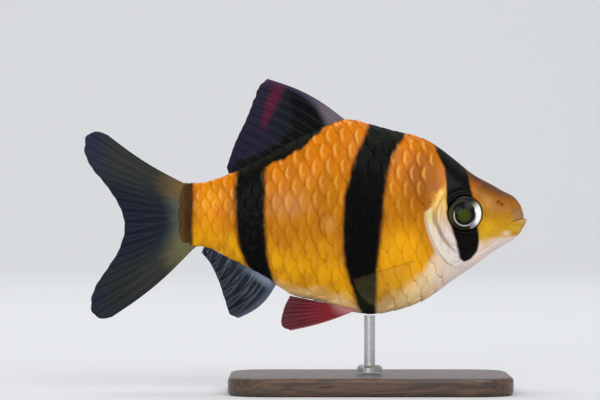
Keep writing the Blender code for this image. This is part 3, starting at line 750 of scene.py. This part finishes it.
class Wiring:
    """Adds nodes to one tree. An input may be a number, a colour, a place or a value of another node."""

    def __init__(self, tree):
        self.tree = tree

    def feed(self, socket, value):
        if isinstance(value, Value):
            self.tree.links.new(value.socket, socket)
        else:
            socket.default_value = value

    def give(self, sockets, values):
        for name, value in values.items():
            self.feed(sockets[name], value)

    def node(self, kind, inputs=None, **settings):
        made = self.tree.nodes.new(kind)
        for name, value in settings.items():
            setattr(made, name, value)
        self.give(made.inputs, inputs or {})
        return made

    def value(self, kind, inputs=None, output=0, **settings):
        return Value(self, self.node(kind, inputs, **settings).outputs[output])

    def math(self, operation, a, b=0.0, c=0.0):
        return self.value("ShaderNodeMath", {0: a, 1: b, 2: c}, operation=operation)

    def most(self, a, b):
        return self.math("MAXIMUM", a, b)

    def far(self, a, b):
        """Distance given by two lengths at a right angle."""
        return self.math("SQRT", a * a + b * b)

    def mix(self, share, a, b):
        """From colour a at share 0 to b at 1. A tint is three numbers, as seen on a screen."""
        a, b = (paint(v) if isinstance(v, tuple) else v for v in (a, b))
        return self.value("ShaderNodeMix", {0: share, 6: a, 7: b}, 2, data_type="RGBA")

    def noise(self, place, scale, detail, stretch=(1, 1, 1), shift=0.0, turn=0.0, distortion=0.0):
        """Noise from about -0.5 to 0.5 at a scale in lumps a unit of its place, turned about Y."""
        if stretch != (1, 1, 1) or shift:
            place = self.value("ShaderNodeMapping", {"Vector": place, "Location": (shift, shift, shift),
                                                     "Rotation": (0.0, turn, 0.0), "Scale": stretch})
        return self.value("ShaderNodeTexNoise", {"Vector": place, "Scale": scale, "Detail": detail,
                                                 "Distortion": distortion}) - 0.5

    def curve(self, value, points):
        """A smooth curve through (value, result) points, held level beyond its ends."""
        at, to = (np.array(v, float) for v in zip(*points))
        low, span = float(to.min()), float(max(to.max() - to.min(), 1e-6))
        share = self.value("ShaderNodeMapRange", {0: value, 1: float(at[0]), 2: float(at[-1])})
        made = self.node("ShaderNodeFloatCurve", {"Value": share})
        line = made.mapping.curves[0].points
        first, *inner, last = zip((at - at[0]) / (at[-1] - at[0]), (to - low) / span)
        line[0].location, line[-1].location = first, last
        for place in inner:
            line.new(*place)
        made.mapping.update()
        return self.math("MULTIPLY_ADD", Value(self, made.outputs[0]), span, low)

    def axes(self, place):
        made = self.node("ShaderNodeSeparateXYZ", {0: place})
        return (Value(self, socket) for socket in made.outputs)

    def place(self):
        """Object coordinates, in metres."""
        return self.value("ShaderNodeTexCoord", output="Object")

    def in_mm(self, place):
        return self.value("ShaderNodeVectorMath", {0: place, "Scale": 1 / MM}, operation="SCALE")

    def map_place(self, name):
        """The two places of an own map."""
        across, along, _ = self.axes(self.value("ShaderNodeUVMap", uv_map=name))
        return across, along

    def oval(self, x, z, centre, radii):
        """Distance from a centre, counted in radii."""
        return self.far((x - centre[0]) / radii[0], (z - centre[1]) / radii[1])

    def spots(self, color, x, z, rows, share=1.0):
        """A colour with soft oval spots laid on it, full inside the inner share of their radii."""
        for centre, radii, inner, amount, tint in rows:
            spot = self.oval(x, z, centre, radii).step(1.0, inner)
            color = self.mix(spot * amount * share, color, tint)
        return color

    def bump(self, height, distance, strength, below=None):
        inputs = {"Height": height, "Distance": distance, "Strength": strength}
        if below is not None:
            inputs["Normal"] = below
        return self.value("ShaderNodeBump", inputs)

    def use(self, tree, inputs):
        """What a node group gives out, by name."""
        made = self.node("ShaderNodeGroup", inputs, node_tree=tree)
        return {socket.name: Value(self, socket) for socket in made.outputs}


def group(name, inputs, outputs):
    """An empty node group with named sockets: its wiring, what it is given, and the sockets to feed."""
    w = Wiring(bpy.data.node_groups.new(name, "ShaderNodeTree"))
    for way, sockets in (("INPUT", inputs), ("OUTPUT", outputs)):
        for title, kind in sockets.items():
            w.tree.interface.new_socket(title, in_out=way, socket_type="NodeSocket" + kind)
    given = {socket.name: Value(w, socket) for socket in w.node("NodeGroupInput").outputs}
    return w, given, w.node("NodeGroupOutput").inputs


def finish_of(name):
    """A material with its wiring and the sockets of its Principled shader."""
    made = bpy.data.materials.new(name)
    made.use_nodes = True
    return made, Wiring(made.node_tree), made.node_tree.nodes["Principled BSDF"].inputs


def gloss(ior, coat_weight, coat_roughness, coat_ior):
    return {"IOR": ior, "Coat Weight": coat_weight, "Coat Roughness": coat_roughness, "Coat IOR": coat_ior}


# Paint: markings shared by skin and scales

ORANGE_BACK, ORANGE_MID, GOLD_LOW = (210, 118, 0), (192, 118, 0), (230, 162, 0)
BELLY, BLACK = (255, 224, 160), (2, 2, 2)

# Spots: centre, radii, inner share, amount and tint
BODY_SPOTS_AND_SHEEN = (
    # The first spot, mauve over the mid flank, is a painted sheen; the others are the fish's own colour
    ((-2.0, 25.2), (4.5, 2.6), 0.1, 0.22, (206, 150, 118)),
    ((15.8, 28.4), (3.6, 6.4), 0.3, 0.9, (154, 84, 0)),
    ((13.2, 17.8), (5.0, 6.4), 0.3, 0.9, (246, 172, 4)),
    ((-12.6, 24.2), (3.0, 5.5), 0.3, 0.7, (238, 154, 0)),
    ((-11.4, 24.2), (1.6, 2.4), 0.0, 0.55, (212, 96, 4)),
)
COVER_SPOTS = (
    ((16.6, 23.5), (0.8, 1.3), 0.0, 0.7, (196, 176, 50)),
    ((17.4, 26.4), (1.3, 1.0), 0.0, 0.7, (226, 168, 60)),
    ((19.9, 18.4), (1.6, 0.8), 0.0, 0.7, (244, 238, 240)),
)
SNOUT_SPOTS = (
    ((24.5, 22.3), (1.9, 1.6), 0.0, 0.95, (222, 172, 14)),
    ((24.2, 20.6), (1.7, 1.6), 0.0, 0.9, (220, 178, 50)),
    ((26.3, 21.3), (2.2, 1.3), 0.0, 0.8, (216, 164, 48)),
    ((28.5, 22.1), (1.5, 0.85), 0.0, 0.95, (206, 172, 38)),
    ((27.2, 21.45), (0.95, 0.55), 0.0, 0.8, (246, 234, 214)),
    ((23.2, 28.0), (1.2, 0.8), 0.0, 0.4, (196, 90, 36)),
    ((24.4, 25.4), (1.7, 1.6), 0.0, 0.6, (208, 150, 62)),
)
EYE_SPOTS = (
    ((22.7, 25.2), (0.75, 0.9), 0.0, 0.55, (120, 124, 70)),
    ((22.6, 22.5), (0.8, 0.7), 0.1, 0.7, (84, 92, 124)),
)

# Black bars: curves of centre and of half width over height, and softness of the edge
BARS = (
    ([(17.3, 21.3), (18.0, 21.6), (19.2, 21.85), (20.2, 21.85), (21.2, 21.65), (24.0, 21.1), (27.1, 20.75),
      (29.9, 20.3), (31.6, 19.6), (33.4, 19.0)],
     [(17.3, -0.7), (17.75, 0.3), (18.15, 0.85), (18.6, 1.1), (19.2, 1.3), (20.2, 1.5), (21.2, 1.65),
      (24.0, 1.9), (27.1, 1.7), (29.9, 1.5), (31.6, 1.45), (33.4, 1.4)],
     0.34),
    ([(10.6, 8.6), (12.2, 8.35), (16.0, 7.7), (19.8, 7.65), (23.4, 7.8), (27.4, 8.25), (31.2, 9.15),
      (34.0, 10.5), (36.6, 12.0)],
     [(10.6, 1.0), (12.2, 1.3), (16.0, 1.95), (19.8, 2.45), (23.4, 2.65), (27.4, 2.6), (31.2, 2.5),
      (34.0, 2.6), (36.6, 3.0)],
     0.65),
    ([(14.0, -4.8), (15.3, -5.4), (17.9, -6.5), (19.8, -6.95), (23.6, -7.3), (27.4, -7.35), (30.4, -7.1),
      (32.0, -6.8)],
     [(14.0, 1.0), (15.3, 1.2), (17.9, 1.6), (19.8, 1.8), (23.6, 1.95), (27.4, 2.0), (30.4, 1.9),
      (32.0, 2.1)],
     0.65),
)
BROWN_BAR_X, BROWN_BAR_HALF, BROWN_BAR_SOFT = -16.1, 1.10, 0.34

# Curves over the length or the height of the fish
WHITE_TOP = [(-16, -0.04), (-8, -0.03), (-3, 0.03), (3, 0.05), (8, 0.05), (12, 0.08), (16, 0.17),
             (19, 0.29), (22, 0.29), (25, 0.25), (28, 0.14), (30, 0.08)]
COVER_EDGE = [(17.2, 19.2), (18.5, 17.5), (19.9, 16.7), (21.9, 16.0), (23.9, 16.1), (25.0, 16.9),
              (26.2, 17.5), (27.6, 18.3), (29.0, 19.3)]
COVER_CREASE = [(18.5, 20.6), (20.5, 18.9), (22.0, 18.0), (23.4, 17.4), (25.5, 17.6)]
SADDLE_DEPTH = [(-9.0, 0.6), (-6.0, 1.5), (-4.0, 1.7), (-1.3, 1.85), (0.4, 1.3), (2.0, 0.55), (3.6, -0.6)]


def markings_group():
    """Colour of the fish at a place: body gradient, bars, gill cover, cheek, snout and lips."""
    w, given, out = group("tiger barb markings", {"Place": "Vector"},
                          {"Color": "Color", "Dark": "Float", "Silver": "Float", "Rise": "Float"})
    place = w.in_mm(given["Place"])
    x, y, z = w.axes(place)
    coarse = w.noise(place, 0.45, 2.0)
    fine = w.noise(place, 2.2, 3.0, shift=7.0)
    patchy = w.noise(place, 0.9, 2.0, (1.0, 1.0, 0.45), shift=3.0)
    back, belly = (w.curve(x, zip(STATIONS[0], row)) for row in STATIONS[1:3])
    share = (z - belly) / (back - belly) + coarse * 0.10
    # Body: gold low on the flank, duller at its middle, deep orange above
    color = w.mix(share.step(0.15, 0.44), GOLD_LOW, ORANGE_MID)
    color = w.mix(share.step(0.58, 0.82), color, ORANGE_BACK)
    color = w.mix(patchy.step(-0.1, 0.2) * 0.45, color, (164, 92, 6))
    # Spots of the body's own colour, and a painted mauve sheen over the mid flank
    color = w.spots(color, x, z, BODY_SPOTS_AND_SHEEN)
    # A dark crescent and a paler patch ahead of it on the right flank
    from_mark = w.oval(x, z, (3.3, 22.6), (1.25, 1.6))
    right = y.step(0.0, -1.0)
    color = w.mix(from_mark.step(1.0, 0.3) * right * 0.35, color, (222, 160, 84))
    crescent = abs(from_mark - 1.05).step(0.13, 0.03) * x.step(3.2, 2.5)
    color = w.mix(crescent * right * 0.6, color, (118, 62, 18))
    # White of belly and throat
    white = (share - w.curve(x, WHITE_TOP)).step(0.055, -0.055)
    rosy = (fine + (x - 17.0) * 0.12).step(-0.3, 0.4)
    color = w.mix(white, color, w.mix(rosy, BELLY, (238, 216, 206)))
    # Gill cover: pinkish white low, cream with gold streaks above, cream along its rear edge
    lean = x - COVER_X + (z - COVER_Z) * COVER_LEAN
    oval = w.far(lean / COVER_HALF_WIDTH, (z - COVER_Z) / COVER_HALF_HEIGHT)
    edge = w.curve(z, COVER_EDGE) - (patchy * 1.1 + fine * 0.5)
    plate = (x - edge).step(-0.30, 0.35) * x.step(23.2, 22.6) * oval.step(1.16, 0.98) * z.step(28.6, 26.8)
    streak = w.noise(place, 1.0, 3.0, (1.9, 1.0, 0.20), turn=0.42)
    silver = w.mix(z.step(20.5, 25.5), (232, 220, 216), (226, 186, 96))
    silver = w.mix(streak.step(0.0, 0.12) * z.step(20.0, 25.5, 0.15, 0.9), silver, (204, 156, 56))
    silver = w.mix(streak.step(-0.06, -0.18) * 0.5, silver, (178, 150, 130))
    silver = w.mix(oval.step(0.60, 0.78) * lean.step(0.2, -0.8) * 0.5, silver, (238, 228, 196))
    # Painted shade: a tan line along the crease of the cheek, fading out above and below
    crease_shade = abs(x - w.curve(z, COVER_CREASE) + patchy * 0.6).step(0.50, 0.05)
    silver = w.mix(crease_shade * z.step(18.4, 20.0) * z.step(25.6, 23.8, 0.0, 0.75), silver, (158, 122, 82))
    color = w.mix(plate, color, silver)
    uneven = fine.step(-0.25, 0.20, 0.35, 1.0)
    color = w.spots(color, x, z, COVER_SPOTS, uneven)
    # Snout and cheek
    snout = w.mix(share.step(0.35, 0.80), (194, 140, 18), (156, 94, 16))
    color = w.mix(x.step(22.2, 23.6) * (1.0 - white), color, snout)
    crown = w.mix(x.step(22.5, 28.0), (54, 30, 18), (100, 66, 48))
    color = w.mix(share.step(0.80, 0.97) * x.step(20.5, 22.5) * 0.9, color, crown)
    color = w.spots(color, x, z, SNOUT_SPOTS, uneven)
    lips = x.step(27.3, 28.8) * z.step(22.9, 23.4) * z.step(25.4, 24.2) * uneven
    color = w.mix(lips * 0.9, color, (138, 112, 88))
    lower_lip = x.step(28.0, 29.2) * z.step(22.4, 22.9) * z.step(23.6, 23.3)
    color = w.mix(lower_lip * 0.6, color, (206, 158, 96))
    freckles = (((28.9, 24.3), (0.9, 0.9), 0.0, 0.8, (96, 64, 34)),)
    color = w.spots(color, x, z, freckles, fine.step(0.02, 0.22))
    # Painted shade along the slit of the mouth
    mouth_slit_shade = abs(z - w.curve(x, MOUTH[::-1])).step(0.10, 0.02) * x.step(28.0, 28.5)
    color = w.mix(mouth_slit_shade * 0.4, color, (110, 66, 44))
    # Bars
    wobble = coarse * 0.5 + fine * 0.16 + patchy * 0.35
    dark = 0.0
    for centre, half, soft in BARS:
        inside = w.curve(z, half) - abs(x + wobble - w.curve(z, centre))
        dark = w.most(dark, inside.step(-soft, soft))
    saddle = w.curve(x, SADDLE_DEPTH) + patchy * 1.2 - (back - z)
    dark = w.most(dark, saddle.step(-0.45, 0.45) * x.step(-10.5, -8.0))
    fourth = BROWN_BAR_HALF - abs(x + wobble * 0.6 - BROWN_BAR_X)
    fourth = fourth.step(-BROWN_BAR_SOFT, BROWN_BAR_SOFT)
    # Near the ridge of the back the bars' black turns olive-grey: a painted sheen. Behind mid-body it turns
    # olive in patches, and olive-grey at the bars' lower ends.
    olive = w.most(share.step(0.88, 0.98), x.step(0.0, -2.5) * fine.step(0.0, 0.3))
    olive = w.most(olive * 0.7, z.step(14.0, 11.6) * 1.3)
    color = w.mix(dark.step(0.0, 0.38), color, w.mix(0.35, color, (96, 44, 24)))
    color = w.mix(dark.step(0.14, 0.86), color, w.mix(olive, BLACK, (30, 33, 25)))
    # Root of the tail fin, and the brown fourth bar across it
    root = w.mix(z.step(24.5, 26.5), (84, 92, 80), (116, 92, 56))
    root = w.mix(z.step(20.5, 22.5), (112, 106, 72), root)
    color = w.mix(x.step(-16.6, -17.0), color, root)
    brown_bar = w.mix(x.step(-16.8, -15.6), (64, 51, 29), (38, 26, 14))
    color = w.mix(fourth * 0.94, color, brown_bar)
    w.give(out, {"Color": color, "Dark": w.most(dark, fourth), "Silver": w.most(plate, white * 0.15),
                 "Rise": share})
    return w.tree


def skin_finish(markings):
    """Wet head skin: the markings, fine pores, and shallow mottling in gloss."""
    made, w, shader = finish_of("head skin")
    place = w.place()
    marks = w.use(markings, {"Place": place})
    grain, mottle = w.noise(place, 5200.0, 3.0), w.noise(place, 1600.0, 3.0)
    pores = grain.step(-0.1, 0.3) * marks["Dark"].step(0.1, 0.6, 0.14, 0.02)
    w.give(shader, {
        "Base Color": w.mix(pores, marks["Color"], (110, 66, 30)),
        "Metallic": marks["Silver"] * 0.35 * (1.0 - marks["Dark"]),
        "Roughness": 0.38 + mottle * 0.20,
        "Normal": w.bump(grain, 0.03 * MM, 0.5, w.bump(mottle, 0.08 * MM, 0.6)),
        **gloss(1.15, marks["Dark"].step(0.2, 0.9, 0.36, 0.10), 0.12, 1.33),
    })
    return made


def scale_finish(markings):
    """A scale: the markings, a painted highlight stroke along its exposed middle, a thin dark free edge,
    fine growth rings and radial lines.
    """
    made, w, shader = finish_of("scales")
    place = w.place()
    marks = w.use(markings, {"Place": place})
    u, v = w.map_place("ScalePlace")
    front, across = u - 0.5, v - 0.5
    tone = w.value("ShaderNodeAttribute", output="Fac", attribute_name="tone")
    far = w.far(front, across) * 2.0
    behind = front.step(0.0, -0.25)
    light = 1.0 - marks["Dark"]
    color = w.mix(tone.step(0.0, 1.0) * light * 0.16, marks["Color"], (150, 78, 12))
    color = w.mix(far.step(0.88, 0.97) * behind * light * 0.10, color, (150, 80, 18))
    # Painted highlight: a light stroke along the middle of the exposed part, on the light markings only,
    # stronger higher up the flank
    painted_highlight = far.step(0.86, 0.74) * far.step(0.52, 0.68) * behind * abs(across).step(0.27, 0.10)
    painted_highlight = painted_highlight * light * marks["Rise"].step(0.45, 0.80, 0.08, 0.38)
    grain = w.noise(place, 2600.0, 2.0)
    arcs = w.far(front - 0.45, across) * 2.0
    rings = w.math("SINE", arcs * 58.0 + grain * 5.0)
    spoke = w.math("ARCTAN2", across, 0.45 - front)
    lines = w.math("SINE", spoke * 30.0 + grain * 3.0) * far.step(0.3, 0.8)
    w.give(shader, {
        "Base Color": w.mix(painted_highlight, color, (246, 190, 96)),
        "Metallic": light * (0.08 + marks["Silver"] * 0.2),
        "Roughness": 0.34 + tone * 0.10,
        "Normal": w.bump(rings + lines * 1.6, 0.003 * MM, 0.6),
        **gloss(1.13, marks["Dark"].step(0.2, 0.9, 0.22, 0.05), 0.16, 1.32),
    })
    return made


# Paint: fins

def rays_group():
    """Mask of the forked rays and their cross joints, from the place across and along a fin."""
    w, given, out = group("fin rays", {"Across": "Float", "Along": "Float", "Rays": "Float"},
                          {"Ray": "Float", "Joint": "Float"})
    along = given["Along"]
    c = given["Across"] * (given["Rays"] - 1.0)
    split = c.step(0.4, 0.6)
    off = abs(abs(c - w.math("ROUND", c)) - along.step(FORK_FROM, FORK_TO, 0.0, FORK) * split)
    off = abs(off - along.step(TWIG_FROM, TWIG_TO, 0.0, TWIG) * split)
    w.give(out, {"Ray": off.step(0.15, 0.04), "Joint": w.math("SINE", along * 150.0).step(0.55, 0.95)})
    return w.tree


def fin_paint(name, rays_tree, color_of, ray_tint, ray_color=(150, 150, 160), roughness=0.42, alpha=None):
    """A fin's finish: color_of gives its colours, and its rays and their joints are raised."""
    made, w, shader = finish_of(name + " fin")
    place = w.in_mm(w.place())
    x, _, z = w.axes(place)
    own = w.value("ShaderNodeUVMap", uv_map="RayPlace")
    across, along, _ = w.axes(own)
    rays = float(FINS[name][0])
    marks = w.use(rays_tree, {"Across": across, "Along": along, "Rays": rays})
    ray = marks["Ray"]
    cloud = w.noise(place, 0.7, 3.0)
    streaks = w.noise(own, 1.0, 2.0, (rays * 3.2, 1.6, 1.0))
    height = ray * 0.3 + marks["Joint"] * ray * -0.35 + streaks * 0.3
    w.give(shader, {
        "Base Color": w.mix(ray * ray_tint, color_of(w, x, z, across, along, cloud, streaks), ray_color),
        "Roughness": roughness + cloud * 0.15,
        "Normal": w.bump(height, 0.03 * MM, 0.5),
        **gloss(1.14, 0.05, 0.30, 1.33),
    })
    if alpha is not None:
        w.give(shader, {"Alpha": alpha(w, across, along, ray)})
    return made


def dorsal_color(w, x, z, across, along, cloud, streaks):
    """Slate purple behind, a wine-red streak, a black patch with ragged fingers and a grey front edge."""
    color = w.mix(x.step(-2.5, -6.0), (16, 22, 28), (28, 24, 44))
    line = w.curve(z, [(34.8, -5.9), (36.9, -5.2), (39.0, -4.35), (41.8, -3.3)]) + cloud * 0.8
    width = z.step(35.0, 40.5, 0.7, 1.5)
    red = abs(x - line).step(width, width * 0.1) * z.step(34.4, 37.5)
    color = w.mix(red * 0.85, color, (86, 20, 46))
    bound = w.curve(z, [(31.0, -9.5), (32.3, -6.0), (33.2, -4.2), (34.5, -2.6), (36.0, -1.9), (38.0, -1.7),
                        (40.6, -2.2), (42.3, -2.9)])
    black = (x + streaks * 3.2 + cloud * 0.8 - bound).step(-0.4, 0.4)
    color = w.mix(black, color, (2, 2, 4))
    width = w.curve(along, [(0.0, 0.17), (0.15, 0.12), (0.4, 0.06), (1.0, 0.035)])
    edge = w.mix(along.step(0.1, 0.7), (112, 102, 112), (72, 64, 90))
    color = w.mix((width - across).step(-0.03, 0.05) * 0.85, color, edge)
    return w.mix(z.step(40.8, 42.2) * 0.4, color, (84, 52, 80))


def caudal_color(w, x, z, across, along, cloud, streaks):
    """Olive-grey outer edges, slate centre, navy at the fork, violet tips, brown and olive at the root."""
    outer = abs(across - 0.5)
    soft = cloud * 0.5 + streaks * 0.5
    color = w.mix((outer + soft * 0.2).step(0.08, 0.42), (22, 29, 40), (44, 47, 42))
    low = w.mix(across.step(0.5, 0.85), (84, 92, 84), (112, 106, 72))
    root = w.mix(across.step(0.42, 0.12), low, (116, 92, 56))
    color = w.mix((along + soft * 0.25).step(0.36, 0.02) * 0.85, color, root)
    color = w.mix(x.step(-25.2, -28.6) * outer.step(0.15, 0.40) * 0.85, color, (28, 30, 58))
    navy = outer.step(0.34, 0.05) * (along + soft * 0.3).step(0.40, 0.95)
    color = w.mix(navy * 0.8, color, (12, 17, 34))
    return w.mix(across.step(0.6, 0.9) * along.step(0.35, 0.8) * 0.6, color, (16, 20, 26))


def anal_color(w, x, z, across, along, cloud, streaks):
    """Blue-slate with pale streaks along the rays, darker towards the tip, pale at the front of the base."""
    color = w.mix(along.step(0.25, 0.9), (30, 37, 46), (12, 16, 30))
    color = w.mix(streaks.step(0.0, 0.25) * along.step(1.0, 0.3, 0.0, 0.8), color, (104, 114, 128))
    color = w.mix(along.step(0.22, 0.02) * across.step(0.6, 0.1) * 0.8, color, (140, 150, 170))
    return w.mix(across.step(0.10, 0.02) * 0.7, color, (88, 96, 112))


def pelvic_color(w, x, z, across, along, cloud, streaks):
    """Dark red, deeper towards the tip, with a pink root."""
    color = w.mix(along.step(0.2, 0.95), (130, 34, 40), (66, 18, 30))
    color = w.mix(along.step(0.30, 0.03) * 0.75, color, (206, 148, 146))
    color = w.mix(streaks.step(0.0, 0.3) * 0.5, color, (92, 36, 48))
    return w.mix(across.step(0.09, 0.02) * 0.5, color, (176, 116, 124))


def pectoral_color(w, x, z, across, along, cloud, streaks):
    """Nearly clear, warm grey, with a thin dark line on the upper edge."""
    color = w.mix(along.step(0.0, 0.4), (216, 164, 70), (132, 126, 84))
    return w.mix(across.step(0.035, 0.01), color, (96, 58, 12))


def pectoral_alpha(w, across, along, ray):
    """Nearly nothing between the rays, a little more on them, and most at the root and on the upper edge."""
    edge = across.step(0.024, 0.012) * along.step(1.0, 0.4, 0.15, 0.45)
    return w.most(w.most(0.05 + ray * 0.045, edge), along.step(0.10, 0.0, 0.0, 0.7))


# Paint: eye and stand

PUPIL = (21.42, 23.85)


def eye_finish():
    """Painted by distance and direction from the pupil: olive pupil with a painted green glow, black ring,
    silver crescent.
    """
    made, w, shader = finish_of("eye")
    place = w.in_mm(w.place())
    x, _, z = w.axes(place)
    dx, dz = x - PUPIL[0], z - PUPIL[1]
    r = w.far(dx, dz)
    turn = w.math("ARCTAN2", dz, dx)
    fibres = w.noise(place, 5.0, 3.0)
    outer = w.far(x - EYE_X, z - EYE_Z)
    # Iris: dark above, golden olive at the rear, near black below
    color = w.mix(dz.step(0.0, 1.2), (28, 28, 18), (8, 11, 14))
    color = w.mix(dx.step(-1.0, -1.9) * abs(dz).step(1.6, 0.4), color, (66, 58, 26))
    # Crescent on the front side
    facing = w.math("COSINE", turn + 0.12)
    crescent = facing.step(0.45, 0.86) * r.step(1.32, 1.62) * outer.step(2.34, 2.12)
    silver = w.mix((r + fibres * 0.35).step(1.40, 1.75), (150, 158, 172), (255, 250, 244))
    color = w.spots(w.mix(crescent, color, silver), x, z, EYE_SPOTS)
    # Thin silver ring round the pupil, widest at its lower rear
    lower_rear = w.math("COSINE", turn + 2.2).step(-0.5, 0.9)
    thin = r.step(1.28, 1.36) * r.step(1.52, 1.42) * lower_rear * fibres.step(-0.3, 0.15, 0.45, 1.0)
    color = w.mix(thin * 0.9, color, (206, 210, 200))
    halo = r.step(1.75, 1.95) * r.step(2.25, 2.05) * facing.step(0.5, -0.4)
    color = w.mix(halo * 0.25, color, (104, 104, 70))
    # Black ring, olive pupil painted with a green glow that is lighter in its middle, and the dark rim under
    # the skin
    color = w.mix((r + dz.step(0.0, 1.2) * -0.45).step(1.30, 1.18), color, (6, 8, 6))
    color = w.mix(r.step(1.10, 0.72), color, (48, 60, 4))
    color = w.mix(r.step(0.75, 0.1) * 0.5, color, (66, 80, 10))
    color = w.mix(outer.step(2.12, 2.30), color, (18, 15, 12))
    w.give(shader, {"Base Color": color, "Roughness": 0.30, **gloss(1.12, 0.4, 0.12, 1.3)})
    return made


def wood_finish():
    """Dark oiled hardwood: long grain with pores along X."""
    made, w, shader = finish_of("stand wood")
    place = w.in_mm(w.place())
    figure = w.noise(place, 1.0, 4.0, (0.06, 0.55, 0.55), distortion=0.6) + 0.5
    pores = w.noise(place, 1.0, 2.0, (0.5, 7.0, 7.0))
    bands = w.math("SINE", figure * 34.0).step(-0.9, 0.9)
    color = w.mix(bands, (58, 38, 26), (88, 58, 38))
    w.give(shader, {
        "Base Color": w.mix(pores.step(0.06, 0.18) * 0.7, color, (30, 20, 14)),
        "Roughness": 0.44 + pores * 0.12,
        "Normal": w.bump(pores.step(0.16, 0.0), 0.03 * MM, 0.6),
        "Coat Weight": 0.25,
        "Coat Roughness": 0.2,
    })
    return made


def steel_finish():
    """Satin steel, turned: fine rings round the rod."""
    made, w, shader = finish_of("stand steel")
    lines = w.noise(w.place(), 1.0, 2.0, (300.0, 300.0, 9000.0)) + 0.5
    w.give(shader, {
        "Base Color": w.mix(lines, (176, 178, 180), (206, 206, 204)),
        "Roughness": 0.22 + lines * 0.16,
        "Normal": w.bump(lines, 0.01 * MM, 0.3),
        "Metallic": 1.0,
    })
    return made


# Studio

FLOOR_HALF_WIDTH, FLOOR_FRONT, FLOOR_BACK, FLOOR_BEND, WALL_HEIGHT = 2600, -2600, 700, 600, 1500
FISH_MIDDLE = (0, 0, 24)

# Lamps: name, place, aim, width in metres and power
LAMPS = (
    ("key", (420, -1000, 760), FISH_MIDDLE, 0.80, 5.6),
    ("fill", (-450, -1050, 300), FISH_MIDDLE, 0.58, 2.6),
    ("rim", (-250, 260, 900), FISH_MIDDLE, 0.7, 2.6),
    ("backdrop", (0, 250, 1000), (0, 1250, 60), 1.0, 4.6),
)
CAMERA_DISTANCE, CAMERA_X, CAMERA_Z = 400.0, -0.6, 25.9
PHOTO_WIDTH = 81.06  # width of the photo's frame at the fish


def backdrop():
    """A pale floor that turns up into a wall: flat for half of u, a quarter circle, then upright."""
    u = np.linspace(0, 1, 60)
    turn = np.clip((u - 0.5) / 0.25, 0, 1) * math.pi / 2
    depth = np.where(u < 0.5, FLOOR_FRONT + (FLOOR_BACK - FLOOR_FRONT) * u / 0.5,
                     FLOOR_BACK + FLOOR_BEND * np.sin(turn))
    height = FLOOR_BEND * (1 - np.cos(turn)) + np.clip(u - 0.75, 0, None) / 0.25 * WALL_HEIGHT
    edges = [np.stack([0 * u + way * FLOOR_HALF_WIDTH, depth, height], axis=-1) for way in (-1, 1)]
    points = np.stack(edges, axis=1).reshape(-1, 3) * MM
    quads, _, _ = grid_quads(len(u), 2, False)
    mesh = bpy.data.meshes.new("backdrop")
    mesh.from_pydata(points.tolist(), [], quads[:, ::-1].tolist())
    mesh.shade_smooth()
    made, w, shader = finish_of("backdrop")
    w.give(shader, {"Base Color": paint((208, 209, 211)), "Roughness": 0.85})
    mesh.materials.append(made)
    floor = bpy.data.objects.new("backdrop", mesh)
    bpy.context.scene.collection.objects.link(floor)


def studio():
    """The backdrop, four soft lamps, a pale world, and the camera at the photo's angle."""
    scene = bpy.context.scene
    backdrop()
    for name, place, target, size, power in LAMPS:
        data = bpy.data.lights.new(name, "AREA")
        data.shape = "DISK"
        data.size = size
        data.energy = power
        lamp = bpy.data.objects.new(name, data)
        lamp.location = Vector(place) * MM
        aim = Vector(target) * MM - lamp.location
        lamp.rotation_euler = aim.to_track_quat("-Z", "Y").to_euler()
        scene.collection.objects.link(lamp)
    scene.world = bpy.data.worlds.new("studio")
    scene.world.use_nodes = True
    sky = scene.world.node_tree.nodes["Background"].inputs
    sky["Color"].default_value = (0.95, 0.97, 1.0, 1.0)
    sky["Strength"].default_value = 0.6
    data = bpy.data.cameras.new("camera")
    data.sensor_width = 36.0
    data.lens = data.sensor_width * CAMERA_DISTANCE / PHOTO_WIDTH
    data.clip_start, data.clip_end = 0.01, 20
    camera = bpy.data.objects.new("camera", data)
    camera.location = Vector((CAMERA_X, -CAMERA_DISTANCE, CAMERA_Z)) * MM
    camera.rotation_euler = (math.pi / 2, 0, 0)
    scene.collection.objects.link(camera)
    scene.camera = camera
    scene.view_settings.view_transform = "Standard"


def main():
    markings = markings_group()
    rays = rays_group()
    skin(skin_finish(markings))
    coats(scale_finish(markings))
    fins({
        "dorsal": fin_paint("dorsal", rays, dorsal_color, 0.02),
        "anal": fin_paint("anal", rays, anal_color, 0.12),
        "caudal": fin_paint("caudal", rays, caudal_color, 0.03),
        "pelvic": fin_paint("pelvic", rays, pelvic_color, 0.15, (190, 110, 110)),
        "pectoral": fin_paint("pectoral", rays, pectoral_color, 0.30, (120, 104, 60), 0.3, pectoral_alpha),
    })
    eyes(eye_finish())
    for node, finish in (("stand_base", wood_finish()), ("stand_rod", steel_finish())):
        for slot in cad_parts[node].material_slots:
            slot.material = finish
    studio()


main()
